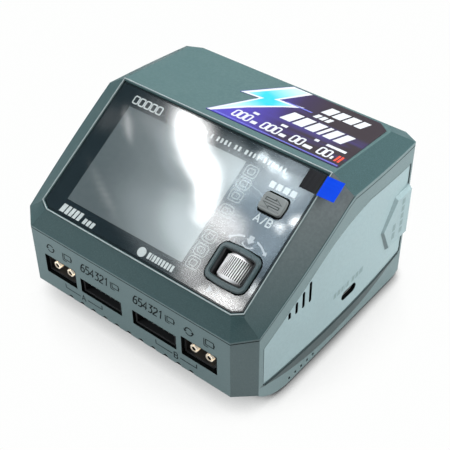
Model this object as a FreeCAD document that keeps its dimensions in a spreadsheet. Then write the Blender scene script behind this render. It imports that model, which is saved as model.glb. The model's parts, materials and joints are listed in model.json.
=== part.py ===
import FreeCAD, Part
import math
import os
import re

import Sketcher
from FreeCAD import Placement, Rotation, Vector

# Balance battery charger, in millimetres. +Z is up, -Y is the front with the output sockets, and the
# origin is on the ground under the middle of the case. The front panel slopes: its own frame has x
# along X, y up the slope from the panel's bottom edge, and z out of the panel.

doc = FreeCAD.newDocument("balance_charger")

# ---------------------------------------------------------------------------- driving dimensions

SIZES = [
    ("half_width", 57.0, "half width of the case at its corners"),
    ("side_bulge", 2.0, "how far each side bows out in the middle"),
    ("front_y", -53.0, "front face"),
    ("back_y", 53.0, "back face"),
    ("corner_x", 7.5, "front corner chamfer, across"),
    ("corner_y", 6.7, "front corner chamfer, along"),
    ("rear_corner_x", 6.4, "rear corner chamfer, across"),
    ("rear_corner_y", 3.5, "rear corner chamfer, along"),
    ("base_z", 1.2, "underside of the case above the ground"),
    ("wall", 2.2, "shell thickness"),
    ("chin_z", 10.7, "bottom edge of the front face"),
    ("chin_back_y", -46.5, "where the flat chin ends and the belly starts"),
    ("belly_y", -26.0, "where the belly meets the flat underside"),
    ("heel_y", 6.5, "length of the sloped heel at the back"),
    ("heel_z", 2.8, "height of the sloped heel at the back"),
    ("seam_front_z", 37.7, "seam between case and cover on the front face"),
    ("seam_corner_z", 39.2, "seam behind the front corner chamfer"),
    ("seam_bend_y", 4.5, "where the side seam stops climbing"),
    ("seam_bend_z", 69.2, "height of the seam at that bend"),
    ("seam_back_z", 66.0, "seam on the back face"),
    ("seam_gap", 0.4, "shadow gap at the seam"),
    ("land_front", 1.1, "upright band of the cover above the seam, at the front"),
    ("land_side", 1.9, "the same band on the sides and the back"),
    ("slope_angle", 31.78, "slope of the front panel in degrees"),
    ("panel_y", -46.56, "bottom edge of the panel"),
    ("panel_z", 45.64, "height of the panel's bottom edge"),
    ("panel_half", 48.6, "half width of the glass"),
    ("panel_length", 58.28, "length of the glass up the slope"),
    ("panel_corner", 3.6, "chamfer of the glass's bottom corners, across"),
    ("panel_corner_rise", 2.1, "chamfer of the glass's bottom corners, up the slope"),
    ("glass_thick", 1.0, "front glass thickness"),
    ("glass_gap", 0.35, "gap around the glass"),
    ("rim_width", 0.95, "raised rim around the panel recess"),
    ("rim_rise", 0.35, "height of that rim"),
    ("crown_half", 49.9, "half width of the flat top and the sloped face"),
    ("crown_back_y", 46.3, "rear edge of the top"),
    ("crown_back_z", 73.06, "height of the rear edge of the top"),
    ("fold_y", 4.2, "fold between sloped face and top"),
    ("trim_z", 14.5, "lower edge of the side trims"),
    ("trim_front_y", -44.0, "front edge of the side trims"),
    ("trim_back_y", 48.0, "rear edge of the side trims"),
    ("trim_thick", 1.6, "side trim thickness"),
    ("trim_sink", 0.3, "how deep the trim lies under the border"),
    ("undercut", 10.4, "height of the sloped band under each bulged side"),
    ("out_x", 35.2, "centre of the output sockets"),
    ("out_z", 22.8, "height of the output sockets"),
    ("bal_x", 13.6, "centre of the balance sockets"),
    ("bal_z", 22.0, "height of the balance sockets"),
    ("board_top", 18.6, "top of the main board"),
    ("board_thick", 1.6, "circuit board thickness"),
    ("wheel_x", 36.4, "centre of the roller wheel on the panel"),
    ("wheel_s", 13.7, "centre of the roller wheel up the slope"),
    ("wheel_depth", 4.9, "wheel axle below the panel"),
    ("wheel_radius", 6.4, "roller wheel radius"),
    ("wheel_length", 10.0, "roller wheel length"),
    ("axle_radius", 1.2, "roller axle radius"),
    ("running_gap", 0.06, "radial clearance of running fits"),
    ("press_travel", 0.6, "travel of the wheel press and the button"),
    ("button_x", 36.8, "centre of the push button"),
    ("button_s", 40.0, "centre of the push button up the slope"),
    ("button_rise", 1.7, "button top above the panel"),
    ("usb_y", 7.3, "centre of the USB-C socket"),
    ("usb_z", 22.8, "height of the USB-C socket"),
    ("fan_x", -20.0, "fan axis"),
    ("fan_z", 35.2, "fan axis height"),
    ("fan_side", 50.0, "fan frame side"),
    ("fan_deep", 15.0, "fan frame depth"),
    ("inlet_x", 30.0, "centre of the inlets on the back"),
    ("ac_z", 22.0, "height of the mains inlet"),
    ("dc_z", 45.0, "height of the direct-current inlet"),
    ("boss_radius", 3.9, "case screw bosses"),
    ("front_boss_x", 51.2, "front bosses, across"),
    ("front_boss_y", -38.0, "front bosses, along"),
    ("front_boss_z", 34.0, "top of the front bosses"),
    ("rear_boss_x", 49.8, "rear bosses, across"),
    ("rear_boss_y", 43.6, "rear bosses, along"),
    ("rear_boss_z", 58.0, "top of the rear bosses"),
    ("screw_radius", 1.5, "case screw shank"),
    ("foot_x", 44.0, "feet, across"),
    ("foot_front_y", -19.0, "front feet"),
    ("foot_back_y", 35.0, "rear feet"),
    ("foot_radius", 5.0, "foot radius"),
]

sheet = doc.addObject("Spreadsheet::Sheet", "Sizes")
for row, (alias, value, meaning) in enumerate(SIZES, start=1):
    sheet.set(f"A{row}", meaning)
    sheet.set(f"B{row}", str(value))
    sheet.setAlias(f"B{row}", alias)
doc.recompute()

ALIASES = {alias for alias, _, _ in SIZES}
SUB_PARTS = []
FAR = 90.0
AXIS_TURN = {
    "x": Rotation(Vector(0, 1, 0), 90),
    "y": Rotation(Vector(1, 0, 0), -90),
    "z": Rotation(),
}


def size(alias):
    """A driving dimension as a number, for shapes made in code."""
    return float(getattr(sheet, alias))


def linked(text):
    """An expression in which every alias points at the sheet."""
    def swap(match):
        word = match.group(0)
        return f"Sizes.{word}" if word in ALIASES else word
    return re.sub(r"[a-z]\w*", swap, str(text))


def bind(obj, prop, text):
    obj.setExpression(prop, linked(text))


def put(obj, at, turn=None):
    """Place an object at bound coordinates."""
    obj.Placement = Placement(Vector(), turn or Rotation())
    for axis, text in zip("xyz", at):
        bind(obj, f"Placement.Base.{axis}", text)
    return obj


def on_panel(obj):
    """Move an object built in the panel's own frame onto the sloped panel."""
    obj.Placement = Placement(Vector(), Rotation(Vector(1, 0, 0), 1))
    bind(obj, "Placement.Base.y", "panel_y")
    bind(obj, "Placement.Base.z", "panel_z")
    bind(obj, "Placement.Rotation.Angle", "slope_angle")
    return obj


def keep(obj, label):
    """Register an object as a sub-part of the charger."""
    obj.Label = label
    SUB_PARTS.append(obj)
    return obj


# ------------------------------------------------------------------------ primitives and booleans

def box(name, corner, lengths):
    obj = doc.addObject("Part::Box", name)
    for prop, text in zip(("Length", "Width", "Height"), lengths):
        bind(obj, prop, text)
    return put(obj, corner)


def rod(name, start, radius, length, axis="z"):
    obj = doc.addObject("Part::Cylinder", name)
    bind(obj, "Radius", radius)
    bind(obj, "Height", length)
    return put(obj, start, AXIS_TURN[axis])


def cone(name, start, radius_1, radius_2, length, axis="z"):
    obj = doc.addObject("Part::Cone", name)
    bind(obj, "Radius1", radius_1)
    bind(obj, "Radius2", radius_2)
    bind(obj, "Height", length)
    return put(obj, start, AXIS_TURN[axis])


def coded(name, shape):
    """A solid made by one of the outline functions below."""
    obj = doc.addObject("Part::Feature", name)
    obj.Shape = shape
    return obj


def join(name, shapes):
    obj = doc.addObject("Part::MultiFuse", name)
    obj.Shapes = shapes
    return obj


def group(name, shapes):
    """Separate identical solids that share one node."""
    obj = doc.addObject("Part::Compound", name)
    obj.Links = shapes
    return obj


def cut(name, base, tools):
    obj = doc.addObject("Part::Cut", name)
    obj.Base = base
    obj.Tool = tools[0] if len(tools) == 1 else join(name + "_tools", tools)
    return obj


def common(name, first, second):
    obj = doc.addObject("Part::Common", name)
    obj.Base = first
    obj.Tool = second
    return obj


def mirrored(name, source):
    """The same shape on the other side of the middle plane."""
    obj = doc.addObject("Part::Mirroring", name)
    obj.Source = source
    obj.Normal = Vector(1, 0, 0)
    return obj


# -------------------------------------------------------------------------- bodies with sketches

def new_body(label):
    body = doc.addObject("PartDesign::Body", label)
    return keep(body, label)


def new_sketch(body, role, at):
    """A sketch on one of the body's origin planes, shifted by bound offsets."""
    plane = next(f for f in body.Origin.OriginFeatures if f.Role == role)
    sketch = body.newObject("Sketcher::SketchObject", body.Name + "_sketch")
    sketch.AttachmentSupport = (plane, "")
    sketch.MapMode = "FlatFace"
    for axis, text in zip("xyz", at):
        bind(sketch, f"AttachmentOffset.Base.{axis}", text)
    return sketch


def rectangle(body, role, width, height, at=(0, 0, 0)):
    """A rectangle centred on the shifted sketch origin."""
    sketch = new_sketch(body, role, at)
    corners = [Vector(-1, -1, 0), Vector(1, -1, 0), Vector(1, 1, 0), Vector(-1, 1, 0)]
    for index in range(4):
        sketch.addGeometry(Part.LineSegment(corners[index], corners[(index + 1) % 4]), False)
    for index in range(4):
        sketch.addConstraint(Sketcher.Constraint("Coincident", index, 2, (index + 1) % 4, 1))
    for index, kind in enumerate(("Horizontal", "Vertical", "Horizontal", "Vertical")):
        sketch.addConstraint(Sketcher.Constraint(kind, index))
    sketch.addConstraint(Sketcher.Constraint("Symmetric", 0, 1, 1, 2, -1, 1))
    wide = sketch.addConstraint(Sketcher.Constraint("DistanceX", 0, 1, 0, 2, 2.0))
    tall = sketch.addConstraint(Sketcher.Constraint("DistanceY", 1, 1, 1, 2, 2.0))
    sketch.renameConstraint(wide, "wide")
    sketch.renameConstraint(tall, "tall")
    bind(sketch, "Constraints.wide", width)
    bind(sketch, "Constraints.tall", height)
    return sketch


def circle(body, role, radius, at=(0, 0, 0)):
    """A circle centred on the shifted sketch origin."""
    sketch = new_sketch(body, role, at)
    sketch.addGeometry(Part.Circle(Vector(), Vector(0, 0, 1), 1.0), False)
    sketch.addConstraint(Sketcher.Constraint("Coincident", 0, 3, -1, 1))
    sketch.renameConstraint(sketch.addConstraint(Sketcher.Constraint("Radius", 0, 1.0)), "radius")
    bind(sketch, "Constraints.radius", radius)
    return sketch


def pad(body, sketch, length, reverse=False):
    feature = body.newObject("PartDesign::Pad", body.Name + "_pad")
    feature.Profile = sketch
    bind(feature, "Length", length)
    feature.Reversed = reverse
    return feature


def pocket(body, sketch, length, reverse=False):
    """A pocket, checked to remove material."""
    doc.recompute()
    before = body.Shape.Volume
    feature = body.newObject("PartDesign::Pocket", body.Name + "_pocket")
    feature.Profile = sketch
    bind(feature, "Length", length)
    feature.Reversed = reverse
    doc.recompute()
    if body.Shape.Volume >= before:
        raise RuntimeError(f"{body.Label}: a pocket removes nothing")
    return feature


def linear_pattern(body, feature, role, length, count):
    axis = next(f for f in body.Origin.OriginFeatures if f.Role == role)
    pattern = body.newObject("PartDesign::LinearPattern", body.Name + "_pattern")
    pattern.Originals = [feature]
    pattern.Direction = (axis, [""])
    bind(pattern, "Length", length)
    pattern.Occurrences = count
    body.Tip = pattern
    return pattern


# ---------------------------------------------------------------------------------- outlines

def polygon(points):
    return Part.Face(Part.makePolygon(list(points) + [points[0]]))


def side_x(y, bulge=None):
    """Half width of the bulged side at a place along the case."""
    start = size("front_y") + size("corner_y")
    end = size("back_y") - size("rear_corner_y")
    bulge = size("side_bulge") if bulge is None else bulge
    half_chord = (end - start) / 2
    middle = (end + start) / 2
    radius = (half_chord ** 2 + bulge ** 2) / (2 * bulge)
    return size("half_width") + bulge - radius + math.sqrt(radius ** 2 - (y - middle) ** 2)


def bulge_radius():
    half_chord = (size("back_y") - size("rear_corner_y") - size("front_y") - size("corner_y")) / 2
    return (half_chord ** 2 + size("side_bulge") ** 2) / (2 * size("side_bulge"))


def plan_corners():
    """Right half of the plan outline, from the front to the back."""
    wide = size("half_width")
    return [
        (wide - size("corner_x"), size("front_y")),
        (wide, size("front_y") + size("corner_y")),
        (wide, size("back_y") - size("rear_corner_y")),
        (wide - size("rear_corner_x"), size("back_y")),
    ]


def plan_face(inset=0.0):
    right = plan_corners()
    outline = right + [(-x, y) for x, y in reversed(right)]
    wire = Part.makePolygon([Vector(x, y, 0) for x, y in outline + outline[:1]])
    if inset:
        wire = wire.makeOffset2D(-inset, join=2)
    return Part.Face(wire)


def plan_prism(inset=0.0):
    return plan_face(inset).extrude(Vector(0, 0, FAR))


def seam_line(lift=0.0):
    """Seam in the side view, from the front to the back."""
    corner_y = size("front_y") + size("corner_y")
    return [
        Vector(0, size("front_y"), size("seam_front_z") + lift),
        Vector(0, corner_y, size("seam_corner_z") + lift),
        Vector(0, size("seam_bend_y"), size("seam_bend_z") + lift),
        Vector(0, size("back_y"), size("seam_back_z") + lift),
    ]


def across(face):
    """Extrude a side-view face over the whole width."""
    face.translate(Vector(-FAR, 0, 0))
    return face.extrude(Vector(2 * FAR, 0, 0))


def above_seam(lift, line=None):
    line = line or seam_line(lift)
    front = Vector(0, -FAR, line[0].z)
    back = Vector(0, FAR, line[-1].z)
    return across(polygon([front] + line + [back, Vector(0, FAR, 2 * FAR), Vector(0, -FAR, 2 * FAR)]))


def belly(inset):
    """Arc of the front underside, from the flat underside up to the chin."""
    rise = size("chin_z") - size("base_z")
    run = size("belly_y") - size("chin_back_y")
    radius = (run ** 2 + rise ** 2) / (2 * rise)
    centre = Vector(0, size("belly_y"), size("base_z") + radius)
    end_angle = math.acos((radius - rise - inset) / (radius - inset))
    points = []
    for share in (0.0, 0.5, 1.0):
        angle = end_angle * share
        reach = radius - inset
        points.append(centre + Vector(0, -reach * math.sin(angle), -reach * math.cos(angle)))
    return points


def side_view(inset, top):
    """Side view of the case, closed along the given top line."""
    arc = belly(inset)
    front = size("front_y") + inset
    back = size("back_y") - inset
    base = size("base_z") + inset
    heel = Vector(0, back, size("base_z") + size("heel_z") + inset / 2)
    sole = Vector(0, size("back_y") - size("heel_y") - inset / 2, base)
    chin = Vector(0, front, size("chin_z") + inset)
    corners = [arc[2], chin] + top + [heel, sole, arc[0]]
    edges = [Part.makeLine(corners[i], corners[i + 1]) for i in range(len(corners) - 1)]
    edges.append(Part.Arc(arc[0], arc[1], arc[2]).toShape())
    return across(Part.Face(Part.Wire(edges)))


def side_lens():
    """Plan segment between the straight side and its bulge."""
    start = size("front_y") + size("corner_y")
    end = size("back_y") - size("rear_corner_y")
    first = Vector(size("half_width"), start, 0)
    last = Vector(size("half_width"), end, 0)
    middle = Vector(size("half_width") + size("side_bulge"), (start + end) / 2, 0)
    return Part.Face(Part.Wire([Part.Arc(first, middle, last).toShape(), Part.makeLine(last, first)]))


def both_sides(shape):
    return shape.fuse(shape.mirror(Vector(), Vector(1, 0, 0)))


def case_hull():
    """Outer form of the lower case, full height."""
    upper = side_lens()
    upper.translate(Vector(0, 0, size("trim_z")))
    lower = upper.extrude(Vector(-size("side_bulge"), 0, -size("undercut")))
    keep_out = Part.makeBox(FAR, 2 * FAR, FAR, Vector(size("half_width"), -FAR, 0))
    bulge = upper.extrude(Vector(0, 0, FAR)).fuse(lower.common(keep_out))
    return plan_prism().fuse(both_sides(bulge))


def patch(first, second):
    """Ruled face between two edges."""
    return Part.makeRuledSurface(first, second)


def slope_point(x, s, drop=0.0):
    """Point on the sloped face, lowered by a drop."""
    angle = math.radians(size("slope_angle"))
    y = size("panel_y") + s * math.cos(angle)
    return Vector(x, y, size("panel_z") + s * math.sin(angle) - drop)


def land_line(share=1.0):
    """Top of the cover's upright band: the seam, raised by the band."""
    rises = [size("land_front")] * 2 + [size("land_side")] * 2
    return [Vector(0, p.y, p.z + share * rise) for p, rise in zip(seam_line(), rises)]


def cover_form(inset, sink, land=0.0):
    """Closed form of the cover: bevels rise from the seam to the sloped face and the top."""
    angle = math.radians(size("slope_angle"))
    drop = inset / math.cos(angle)
    half = size("crown_half") - 0.7 * inset
    edge = size("rim_width") + size("glass_gap") + 0.2 - inset
    crown_corner = size("panel_corner") + 0.4
    fold_s = (size("fold_y") - size("panel_y")) / math.cos(angle)
    fold_z = size("panel_z") + fold_s * math.sin(angle)
    fall = (fold_z - size("crown_back_z")) / (size("crown_back_y") - size("fold_y"))
    back = size("crown_back_y") - inset
    shoulder = back - size("rear_corner_y")

    def top(x, y):
        return Vector(x, y, fold_z - fall * (y - size("fold_y")) - inset)

    # the inner form's fold lies where its lowered slope meets its lowered top
    shift = (drop - inset) / (math.tan(angle) + fall)
    fold_y = size("fold_y") + shift
    crown = [
        slope_point(half - crown_corner, -edge, drop),
        slope_point(half, size("panel_corner_rise") - edge + inset, drop),
        top(half, fold_y),
        top(half, shoulder),
        top(half - 5.0, back),
    ]
    line = [Vector(0, p.y, p.z - sink) for p in land_line(land)]
    right = [(x - inset, y) for x, y in plan_corners()]
    rear_fall = (line[2].z - line[3].z) / (line[3].y - line[2].y)

    def rear(x, y):
        """Point on the rear run of the seam."""
        return Vector(x, y, line[2].z - rear_fall * (y - line[2].y))

    foot = [
        Vector(right[0][0] + 0.6 * inset, right[0][1] + inset, line[0].z),
        Vector(right[1][0], right[1][1] + 0.4 * inset, line[1].z),
        Vector(side_x(line[2].y) - inset, line[2].y, line[2].z),
        rear(right[2][0], right[2][1] - 0.4 * inset),
        rear(right[3][0] + 0.6 * inset, right[3][1] - inset),
    ]

    def arc(first, last):
        """Edge of the bulged side between two seam points."""
        y = (first.y + last.y) / 2
        middle = Vector(side_x(y) - inset, y, (first.z + last.z) / 2)
        return Part.Arc(first, middle, last).toShape()

    def line_between(first, last):
        return Part.makeLine(first, last)

    def flip(edge_or_face):
        return edge_or_face.mirror(Vector(), Vector(1, 0, 0))

    def other(point):
        return Vector(-point.x, point.y, point.z)

    seam_edges = [
        line_between(foot[0], foot[1]),
        arc(foot[1], foot[2]),
        arc(foot[2], foot[3]),
        line_between(foot[3], foot[4]),
    ]
    crown_edges = [line_between(crown[i], crown[i + 1]) for i in range(4)]
    bevels = [patch(low, high) for low, high in zip(seam_edges, crown_edges)]
    faces = bevels + [flip(face) for face in bevels]
    faces.append(polygon([crown[0], crown[1], crown[2], other(crown[2]), other(crown[1]), other(crown[0])]))
    faces.append(polygon([crown[2], crown[3], crown[4], other(crown[4]), other(crown[3]), other(crown[2])]))
    faces.append(polygon([foot[0], crown[0], other(crown[0]), other(foot[0])]))
    faces.append(polygon([foot[4], crown[4], other(crown[4]), other(foot[4])]))
    for first, last, edge_shape in (
        (foot[0], foot[1], seam_edges[0]),
        (foot[1], foot[2], seam_edges[1]),
        (foot[2], foot[4], None),
    ):
        if edge_shape is None:
            side = [seam_edges[2], seam_edges[3]]
        else:
            side = [edge_shape]
        loop = side + [flip(e) for e in side]
        loop.append(line_between(first, other(first)))
        loop.append(line_between(last, other(last)))
        faces.append(Part.Face(Part.Wire(Part.__sortEdges__(loop))))
    shell = Part.makeShell(faces)
    shell.sewShape()
    solid = Part.Solid(Part.Shell(shell.Faces))
    if solid.Volume < 0:
        solid.reverse()
    return solid


def panel_face(grow):
    """Outline of the front glass in the panel's frame, grown by a margin."""
    half = size("panel_half")
    corner = size("panel_corner")
    rise = size("panel_corner_rise")
    length = size("panel_length")
    right = [(half - corner, 0.0), (half, rise), (half, length)]
    outline = right + [(-x, s) for x, s in reversed(right)]
    wire = Part.makePolygon([Vector(x, s, 0) for x, s in outline + outline[:1]])
    if grow:
        wire = wire.makeOffset2D(grow, join=2)
    return Part.Face(wire)


def layer(face, low, high):
    """Extrude a face of the XY plane between two heights."""
    face = face.copy()
    face.translate(Vector(0, 0, low))
    return face.extrude(Vector(0, 0, high - low))


def pillow(width, height, bulge, corner, upright=True):
    """Rounded rectangle whose two opposite edges bow outwards."""
    w, h = width / 2, height / 2
    if upright:
        arcs = [((-w, -h), (0, -h - bulge), (w, -h)), ((w, h), (0, h + bulge), (-w, h))]
    else:
        arcs = [((w, -h), (w + bulge, 0), (w, h)), ((-w, h), (-w - bulge, 0), (-w, -h))]
    edges = []
    for index, (first, middle, last) in enumerate(arcs):
        following = arcs[(index + 1) % 2][0]
        edges.append(Part.Arc(Vector(*first, 0), Vector(*middle, 0), Vector(*last, 0)).toShape())
        edges.append(Part.makeLine(Vector(*last, 0), Vector(*following, 0)))
    block = Part.Face(Part.Wire(edges)).extrude(Vector(0, 0, 1))
    upright_edges = [e for e in block.Edges if abs(e.BoundBox.ZLength - 1) < 1e-6]
    rounded = block.makeFillet(corner, upright_edges)
    return next(f for f in rounded.Faces if abs(f.CenterOfMass.z) < 1e-6 and f.BoundBox.ZLength < 1e-6)


def moved(shape, x, y, z=0.0):
    shape = shape.copy()
    shape.translate(Vector(x, y, z))
    return shape


def trim_face(grow):
    """Side-view outline of the side trims, with a climbing edge that bends into a level one."""
    front, back, low = size("trim_front_y"), size("trim_back_y"), size("trim_z")
    start = Vector(0, front, 33.5)
    bend_start = Vector(0, -12.0, 53.6)
    bend_middle = Vector(0, 2.5, 59.8)
    bend_end = Vector(0, 17.0, 62.1)
    end = Vector(0, back, 58.9)
    edges = [
        Part.makeLine(Vector(0, front, low), start),
        Part.makeLine(start, bend_start),
        Part.Arc(bend_start, bend_middle, bend_end).toShape(),
        Part.makeLine(bend_end, end),
        Part.makeLine(end, Vector(0, back, low)),
        Part.makeLine(Vector(0, back, low), Vector(0, front, low)),
    ]
    wire = Part.Wire(edges)
    if grow:
        wire = wire.makeOffset2D(grow, join=2)
    return Part.Face(wire)


def side_shell(outer_sink, inner_sink):
    """Curved slab that follows the right side's bulge between two depths."""
    radius = bulge_radius()
    middle = (size("front_y") + size("corner_y") + size("back_y") - size("rear_corner_y")) / 2
    centre = Vector(size("half_width") + size("side_bulge") - radius, middle, 0)
    outer = Part.makeCylinder(radius - outer_sink, FAR, centre)
    inner = Part.makeCylinder(radius - inner_sink, FAR, centre)
    window = Part.makeBox(FAR, 2 * FAR, FAR, Vector(size("half_width") - 5.0, -FAR, 0))
    return outer.cut(inner).common(window)


def outward(face, start, end):
    """Extrude a side-view face between two half widths on the right side."""
    face = face.copy()
    face.translate(Vector(start, 0, 0))
    return face.extrude(Vector(end - start, 0, 0))


def side_slots(low, high):
    """Four leaning vent slots of rising height through the right side."""
    slots = []
    for index in range(4):
        y = -31.0 + 3.85 * index
        tall = 3.3 + 2.2 * index
        slot = Part.makeBox(high - low, 1.45, tall, Vector(low, y, 37.3))
        edges = [e for e in slot.Edges if e.BoundBox.XLength > 1]
        slots.append(slot.makeFillet(0.7, edges))
    return slots


def stadium(width, height):
    """Rounded slot outline in the YZ plane, centred on the USB-C socket."""
    block = Part.makeBox(1, width, height, Vector(0, size("usb_y") - width / 2, size("usb_z") - height / 2))
    edges = [e for e in block.Edges if e.BoundBox.XLength > 0.5]
    rounded = block.makeFillet(height / 2 - 0.01, edges)
    return next(f for f in rounded.Faces if f.BoundBox.XLength < 1e-6 and abs(f.CenterOfMass.x) < 1e-6)


def pipe(points, radius, bend):
    """Cable that follows a path of straight runs with rounded bends."""
    edges = []
    start = points[0]
    for corner, following in zip(points[1:-1], points[2:]):
        before = (corner - start).normalize()
        after = (following - corner).normalize()
        first = corner - before * bend
        last = corner + after * bend
        middle = corner + (after - before) * (bend * (1 - math.sqrt(0.5)))
        edges.append(Part.makeLine(start, first))
        edges.append(Part.Arc(first, middle, last).toShape())
        start = last
    edges.append(Part.makeLine(start, points[-1]))
    direction = points[1] - points[0]
    section = Part.Wire(Part.makeCircle(radius, points[0], direction))
    return Part.Wire(edges).makePipeShell([section], True, True)


# --------------------------------------------------------------------------------- lower case

OUTPUT_SIDES = ("-out_x", "out_x")
BALANCE_SIDES = ("-bal_x", "bal_x")
VENT_COUNT = 11
VENT_PITCH = 6.25
FAN_HOLES = [(x, z) for x in (-20, 20) for z in (-20, 20)]
BOSSES = [
    (f"{sign}*{row}_boss_x", f"{row}_boss_y", f"{row}_boss_z") for sign in (-1, 1) for row in ("front", "rear")
]
BOARD_POSTS = [(x, y) for x in (-42, 42) for y in (-30, -11)]
POWER_POSTS = [(x, y) for x in (-41, 41) for y in (1.5, 45)]
FEET = [(f"{sign}*foot_x", y) for sign in (-1, 1) for y in ("foot_front_y", "foot_back_y")]


def case_blank():
    hull = case_hull().common(side_view(0.0, seam_line()))
    top = [Vector(0, size("front_y") + size("wall"), FAR), Vector(0, size("back_y") - size("wall"), FAR)]
    cavity = plan_prism(size("wall")).common(side_view(size("wall"), top))
    return hull.cut(cavity)


def front_openings():
    tools = []
    for index, x in enumerate(OUTPUT_SIDES):
        corner = (f"{x} - 8.2", "front_y - 1", "out_z - 4.5")
        tools.append(box(f"output_opening_{index}", corner, (16.4, "wall + 2", 9.0)))
    for index, x in enumerate(BALANCE_SIDES):
        corner = (f"{x} - 10.6", "front_y - 1", "bal_z - 3.5")
        tools.append(box(f"balance_opening_{index}", corner, (21.2, "wall + 2", 6.8)))
    for index in range(VENT_COUNT):
        x = (index - (VENT_COUNT - 1) / 2) * VENT_PITCH
        tools.append(rod(f"chin_notch_{index}", (x, "front_y - 1", "chin_z"), 1.25, "wall + 0.9", "y"))
        tools.append(box(f"chin_vent_{index}", (f"{x} - 0.7", "front_y + 3.4", "chin_z - 1"), (1.4, 2.4, 5)))
    return tools


def side_openings():
    wall_in = size("half_width") - size("wall") - 1.5
    recess = outward(trim_face(0.1), wall_in, FAR).common(side_shell(-2.0, size("trim_sink") + size("trim_thick")))
    tools = [coded("trim_recesses", both_sides(recess))]
    slots = Part.makeCompound(side_slots(wall_in - 2, 62.0))
    tools.append(coded("slot_openings", both_sides(slots)))
    tools.append(coded("usb_opening", outward(stadium(9.6, 3.9), wall_in - 2, 62.0)))
    for index in range(5):
        for side, start in (("left", "-half_width - 1"), ("right", "half_width - wall - 1")):
            corner = (start, f"-28 + {3.8 * index}", "base_z + 1.2")
            tools.append(box(f"low_vent_{side}_{index}", corner, ("wall + 2", 1.2, 1.5)))
    return tools


def back_openings():
    tools = []
    outer_start = ("fan_x", "back_y - wall - 1", "fan_z")
    rings = []
    for index, (outer, inner) in enumerate(((22.4, 19.0), (16.6, 13.2), (10.8, 7.4))):
        disc = rod(f"grille_disc_{index}", outer_start, outer, "wall + 2", "y")
        core = rod(f"grille_core_{index}", outer_start, inner, "wall + 2", "y")
        rings.append(cut(f"grille_ring_{index}", disc, [core]))
    bars = [
        box("grille_bar_up", ("fan_x - 1.3", "back_y - wall - 2", "fan_z - 25"), (2.6, "wall + 4", 50)),
        box("grille_bar_flat", ("fan_x - 25", "back_y - wall - 2", "fan_z - 1.3"), (50, "wall + 4", 2.6)),
    ]
    tools.append(cut("grille_slots", join("grille_rings", rings), bars))
    for index, (x, z) in enumerate(FAN_HOLES):
        start = (f"fan_x + {x}", "back_y - wall - 1", f"fan_z + {z}")
        tools.append(rod(f"fan_hole_{index}", start, "screw_radius + 0.1", "wall + 2", "y"))
        sink = (f"fan_x + {x}", "back_y - 1.55", f"fan_z + {z}")
        tools.append(cone(f"fan_sink_{index}", sink, "screw_radius", "screw_radius + 1.6", 1.6, "y"))
    ac_corner = ("inlet_x - 10.3", "back_y - wall - 1", "ac_z - 6.8")
    tools.append(box("ac_opening", ac_corner, (20.6, "wall + 2", 13.6)))
    dc_corner = ("inlet_x - 8.2", "back_y - wall - 1", "dc_z - 4.2")
    tools.append(box("dc_opening", dc_corner, (16.4, "wall + 2", 8.4)))
    return tools


def case_posts():
    """Screw bosses, board posts and the shelf under the USB board, trimmed to the hull."""
    posts = []
    for index, (x, y, top) in enumerate(BOSSES):
        posts.append(rod(f"case_boss_{index}", (x, y, 0), "boss_radius", top))
    for index, (x, y) in enumerate(BOARD_POSTS):
        posts.append(rod(f"board_post_{index}", (x, y, 0), 2.6, "board_top - board_thick"))
    for index, (x, y) in enumerate(POWER_POSTS):
        posts.append(rod(f"power_post_{index}", (x, y, 0), 2.8, 6.2))
    posts.append(box("usb_shelf", (50.5, "usb_y - 6", "usb_z - 4.6"), (5.5, 12, 1.97)))
    rear_walls = (
        ("ac_cradle", "inlet_x - 10.3", "ac_z - 8.9", 20.6),
        ("dc_cradle", "inlet_x - 8.2", "dc_z - 6.3", 16.4),
    )
    for name, x, z, wide in rear_walls:
        posts.append(box(name, (x, "back_y - wall - 8", z), (wide, "wall + 7", 2)))
    hull = coded("case_hull", case_hull().common(side_view(0.0, seam_line())))
    return common("case_posts", join("case_post_rods", posts), hull)


def case_holes():
    """Screw holes in the bosses and posts, and the recesses for the feet."""
    tools = []
    for index, (x, y, top) in enumerate(BOSSES):
        tools.append(rod(f"boss_hole_{index}", (x, y, 0), "screw_radius + 0.1", FAR))
        tools.append(rod(f"boss_well_{index}", (x, y, 0), "screw_radius * 2 + 0.1", f"{top} - 5"))
    for index, (x, y) in enumerate(BOARD_POSTS):
        tools.append(rod(f"board_hole_{index}", (x, y, "board_top - board_thick - 6.5"), 1.3, 8))
    for index, (x, y) in enumerate(POWER_POSTS):
        tools.append(rod(f"power_hole_{index}", (x, y, 2.4), 1.3, 5))
    for index, (x, y) in enumerate(FEET):
        tools.append(rod(f"foot_recess_{index}", (x, y, 0), "foot_radius + 0.1", "base_z + 0.6"))
    return tools


def make_case_base():
    blank = coded("case_blank", case_blank())
    body = join("case_body", [blank, case_posts()])
    openings = front_openings() + side_openings() + back_openings() + case_holes()
    keep(cut("case_shell", body, openings), "case_base")


# ------------------------------------------------------------------------------------- cover

PANEL_POSTS = [(-45.0, 8.0), (-45.0, 49.5), (24.6, 8.0), (24.6, 49.5)]
BEZEL = dict(width=17.8, height=13.7, bulge=0.95, corner=2.8)
BEZEL_INNER = dict(width=14.3, height=10.3, bulge=0.6, corner=1.3)
BUTTON = dict(width=9.0, height=6.9, bulge=0.45, corner=1.1, upright=False)


def grown(outline, margin):
    """The same pillow outline, larger by a margin on each side."""
    bigger = dict(outline)
    bigger["width"] += 2 * margin
    bigger["height"] += 2 * margin
    bigger["corner"] += margin
    return bigger


def wheel_outline(outline, margin=0.0):
    return moved(pillow(**grown(outline, margin)), size("wheel_x"), size("wheel_s"))


def button_outline(margin=0.0):
    return moved(pillow(**grown(BUTTON, margin)), size("button_x"), size("button_s"))


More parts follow.
